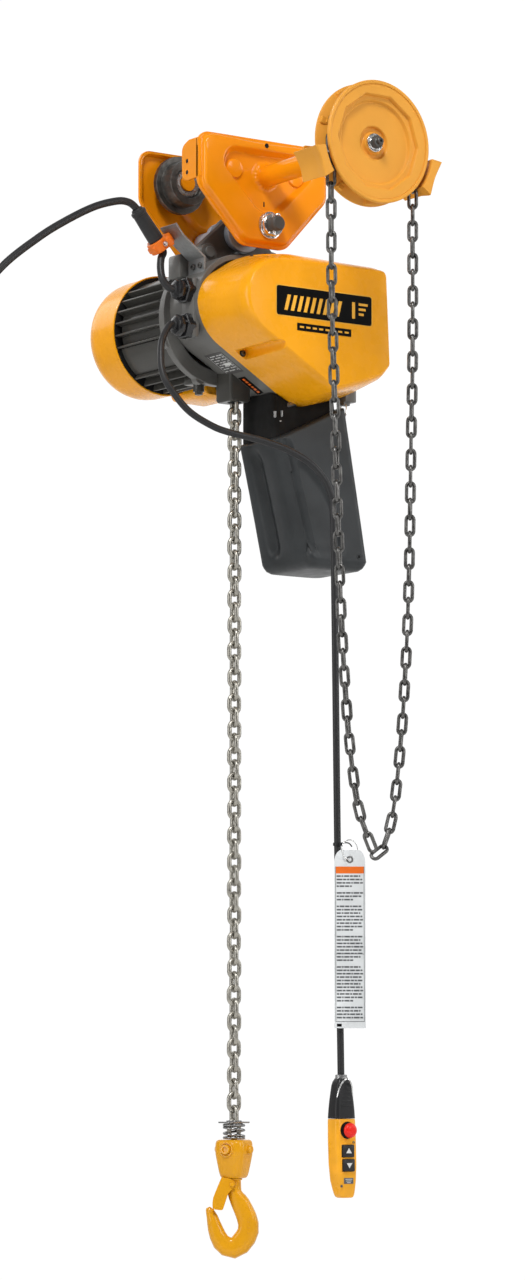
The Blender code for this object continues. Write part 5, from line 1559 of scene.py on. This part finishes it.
def pendant_section(z, half_x, half_y, lean=0):
    x, y = PENDANT_X + lean, PENDANT_Y
    r = min(half_x, half_y) * 0.5
    return at_z(rectangle(x - half_x, x + half_x, y - half_y, y + half_y, r, 8), z)


def pendant():
    """Two-key control: tapered head, case with framed keys, stop button and a strain wire."""
    rings = [pendant_section(z, hx, hy) for z, hx, hy in ((PENDANT_TOP_Z + 5, 7.4, 7),
        (PENDANT_TOP_Z + 1, 9.6, 8.4), (PENDANT_TOP_Z - 3, 12.2, 10.2), (PENDANT_TOP_Z - 9, 14, 11.2),
        (PENDANT_TOP_Z - 20, 15.6, 12), (PENDANT_TOP_Z - 34, 17.4, 13), (PENDANT_TOP_Z - 47, 18.6, 13.8),
        (PENDANT_SEAM_Z + 4, 19, 14.4), (PENDANT_SEAM_Z + 0.2, 19.2, 14.8))]
    head = loft(rings)
    ribs = [block((PENDANT_X, PENDANT_Y - 10.4 - 0.6 * k, PENDANT_TOP_Z - 12 - 7 * k),
        (14 + k, 2.4, 2.6), 0.8) for k in range(5)]
    show("pendant_head", join(head, *ribs), "black", "hoist", "pendant_top", bevel=0.3,
        smooth=36)

    low_rings = [pendant_section(z, hx, hy, lean) for z, hx, hy, lean in (
        (PENDANT_SEAM_Z - 0.3, 18.4, 13.8, 0), (PENDANT_SEAM_Z - 1.6, 19.4, 14.5, 0),
        (PENDANT_SEAM_Z - 34, 20, 14.7, 0.8), (PENDANT_SEAM_Z - 70, 19.8, 14.8, 2),
        (PENDANT_SEAM_Z - 96, 17.8, 14.5, 3),
        (PENDANT_BOTTOM_Z + 18, 14.6, 13.6, 4.4), (PENDANT_BOTTOM_Z + 12, 13.2, 12.5, 5),
        (PENDANT_BOTTOM_Z + 8.6, 11.4, 11.2, 5.3), (PENDANT_BOTTOM_Z + 7.4, 8.6, 8.6, 5.5))]
    bezel = []
    keys = (("up", -1512, 1), ("down", -1534, 2))
    face = PENDANT_FACE_Y
    for _, z, dx in keys:
        for sx, sz, wide, tall in ((0, 10.6, 26, 1.8), (0, -10.6, 26, 1.8), (12.4, 0, 1.8, 20),
                (-12.4, 0, 1.8, 20)):
            bezel.append(block((PENDANT_X + dx + sx, face + 0.6, z + sz), (wide, 3.2, tall), 0.6))
    bezel.append(lathe([(12.6, face + 0.8), (13.6, face - 1.2), (14.8, face - 1.2), (15.6, face + 0.8)],
        (PENDANT_X + 0.4, 0, -1480), segments=48, closed=True))
    show("pendant_case", join(loft(low_rings), *bezel), "pendant", "hoist", "pendant_body",
        bevel=0.3, smooth=38)
    # dark ring and panels of painted shade in the wells round the stop button and the keys
    well = lathe(disc(13.2, face - 0.35, face + 0.6, 5.4), (PENDANT_X, 0, -1480), segments=48,
        closed=True)
    key_well_shades = [block((PENDANT_X + dx, face + 0.6, z), (23.2, 1.9, 19.4), 0.3) for _, z, dx in keys]
    show("pendant_well_shades", join(well, *key_well_shades), "hollow")
    for name, z, dx in keys:
        x = PENDANT_X + dx
        cap = block((x, face - 0.2, z), (22, 7.8, 18.6), 1.6)
        show(name + "_key", cap, "black", name + "_key", name + "_button", smooth=40)
        sign = 1 if name == "up" else -1
        arrow = [Vector((x - 5.4, z - 3.4 * sign)), Vector((x + 5.4, z - 3.4 * sign)),
            Vector((x, z + 4.6 * sign))]
        show(name + "_arrow", slab(arrow, face - 4.25, face - 4.05), "print_pale", name + "_key")
    profile = [(0, face - 15), (4, face - 14.9), (7.4, face - 14.2), (10.2, face - 12.4),
        (11.4, face - 10.4), (11.6, face - 8.4), (10.8, face - 6.6), (9, face - 5.7), (5, face - 5.6),
        (5, face + 0.4), (0, face + 0.4)]
    shape = lathe(profile, (PENDANT_X, 0, -1480), segments=64)
    show("stop_mushroom", shape, "red", "stop_key", "stop_button")
    label = block((PENDANT_X + 3.2, face - 0.1, -1558), (18, 0.6, 9), 0.2)
    show("pendant_label", label, "print_grey")
    bars = [block((PENDANT_X + 3.2, face - 0.5, -1555.6 - 2.6 * k), (13 - 3 * k, 0.4, 1))
        for k in range(3)]
    show("pendant_label_bars", join(*bars), "print_pale")
    screws = [screw_head((PENDANT_X + dx, face + 0.3, z), (0, -1, 0), 2.1, 0.9)
        for dx, z in ((12.6, -1499), (-10.4, -1566))]
    show("pendant_screws", join(*screws), "dark_steel")
    clip = smooth_path(((-13, -4, -66), (-15, -8, -40), (-12, -12, -18), (-4, -15, -6), (4, -15, -6),
        (12, -12, -18), (15, -8, -40), (13, -4, -66)))
    wire = [p + Vector((PENDANT_X, PENDANT_Y, PENDANT_TOP_Z + 6)) for p in clip]
    show("pendant_strain_wire", sweep(wire, 1.1, 10), "bright")
    band = lathe([(7.9, PENDANT_TOP_Z + 1), (9.3, PENDANT_TOP_Z + 1.6), (9.3, PENDANT_TOP_Z + 7.6),
        (7.9, PENDANT_TOP_Z + 8.2), (5.6, PENDANT_TOP_Z + 8.2), (5.6, PENDANT_TOP_Z + 1)],
        (PENDANT_X - 0.4, PENDANT_Y, 0), "z", 40, True)
    show("pendant_ferrule", band, "bare_steel")


CARD_GAPS = (4, 8, 17, 26, 38)


def tag():
    """Hanging card, only plain bars printed on it, with an eyelet, a wire ring and a cable tie."""
    middle = Vector((102.4, -170.3, -1186))
    turn = Matrix.Rotation(HOOK_TURN, 3, "Z")

    def on_card(x, z, depth):
        return middle + turn @ Vector((x, depth, z))

    def curl(z):
        return 1.8 * math.sin((z + 142) / 284 * math.pi)

    def section(x0, x1, z, front, back):
        front -= curl(z)
        back -= curl(z)
        return [on_card(x0, z, front), on_card(x1, z, front), on_card(x1, z, back), on_card(x0, z, back)]

    def panel(x0, x1, z0, z1, front, back):
        steps = max(1, int(abs(z1 - z0) / 12))
        rings = []
        for i in range(steps + 1):
            z = z0 + (z1 - z0) * i / steps
            rings.append(section(x0, x1, z, front, back))
        return loft(rings)

    levels = [-136 + 12 * k for k in range(22)] + [122, 128, 133, 137, 140, 142]
    rings = []
    for z in levels:
        half = 24.5 - 12.5 * (1 - math.sqrt(max(0, 1 - ((z - 122) / 20.5) ** 2))) if z > 122 else 24.5
        rings.append(section(-half, half, z, 0.6, -0.6))
    show("card", loft(rings), "white", "hoist", "tag", bevel=0.15)
    face = -0.62
    border = [panel(x, x + 0.8, -126, 116, face, face - 0.15) for x in (-22.6, 21.8)]
    border += [panel(-22.6, 22.6, z, z + 0.8, face, face - 0.15) for z in (-126, -21)]
    rows = []
    words = (6.5, 3, 8, 4.5, 7, 2.5, 9, 5, 3.5, 7.5)
    word = 0
    for k in range(43):
        z = 101 - 5.25 * k
        if k in CARD_GAPS:
            continue
        x = -20.6
        limit = 5 if k + 1 in CARD_GAPS else 20.4
        while x < limit - 3:
            end = min(x + words[word % len(words)], limit)
            rows.append(panel(x, end, z - 1.25, z + 1.25, face, face - 0.12))
            x = end + 1.1
            word += 1
    show("card_print", join(*border, *rows), "print_grey")
    show("card_foot_bar", panel(-20.5, -13, -133.5, -129, face, face - 0.12), "print_black")
    show("card_bands", panel(-22, 22, 105.2, 116, face, face - 0.14), "print_orange")
    eyelet_place = on_card(0, 127, -curl(127))
    across = turn @ Vector((0, 1, 0))
    eyelet = turned([(3, -1.1), (5.4, -1.1), (5.8, -0.7), (5.8, 0.7), (5.4, 1.1), (3, 1.1)], eyelet_place,
        across, 32, closed=True)
    show("card_eyelet", eyelet, "bare_steel")
    centre = middle + Vector((0, 0, 127 + 15.4))
    ring = [centre + Vector((15.4 * math.cos(a), 0, 15.4 * math.sin(a))) for a in circle(48)]
    show("card_ring", sweep(ring, 0.95, 12, True), "bright", "hoist", "tag_ring")
    path = smooth_path(PENDANT_ROUTE)
    z = centre.z + 9
    spot = min(path, key=lambda p: abs(p.z - z) if p.x > 60 else 1e9)
    tie_centre = Vector((spot.x, spot.y, z))
    band = lathe(disc(7.1, -2.4, 2.4, 5.7), tie_centre, "z", 36, True)
    lock = block(tie_centre + Vector((0, -9.2, 0)), (6.4, 5.6, 5), 0.8)
    tail = sweep(smooth_path([tie_centre + Vector(v) for v in ((0, -9, 0), (4, -14, 2), (10, -17, 1),
        (15, -18, -4))]), 1.1, 8)
    show("cable_tie", join(band, lock, tail), "black", bevel=0.2)


def main():
    studio()
    camera()
    for side in (-1, 1):
        side_plate(side)
    axles()
    track_wheels()
    suspension()
    hand_drive()
    hand_wheel()
    chain_guide()
    hand_chain()
    suspender()
    hoist_frame()
    data_plate()
    motor_frame()
    rear_cover()
    controller_cover()
    cover_labels()
    inner_works()
    oil_plug()
    glands()
    cable_support()
    cables()
    container()
    load_chain()
    spring_and_plate()
    hook_block()
    hook()
    hook_latch()
    pendant()
    tag()


main()
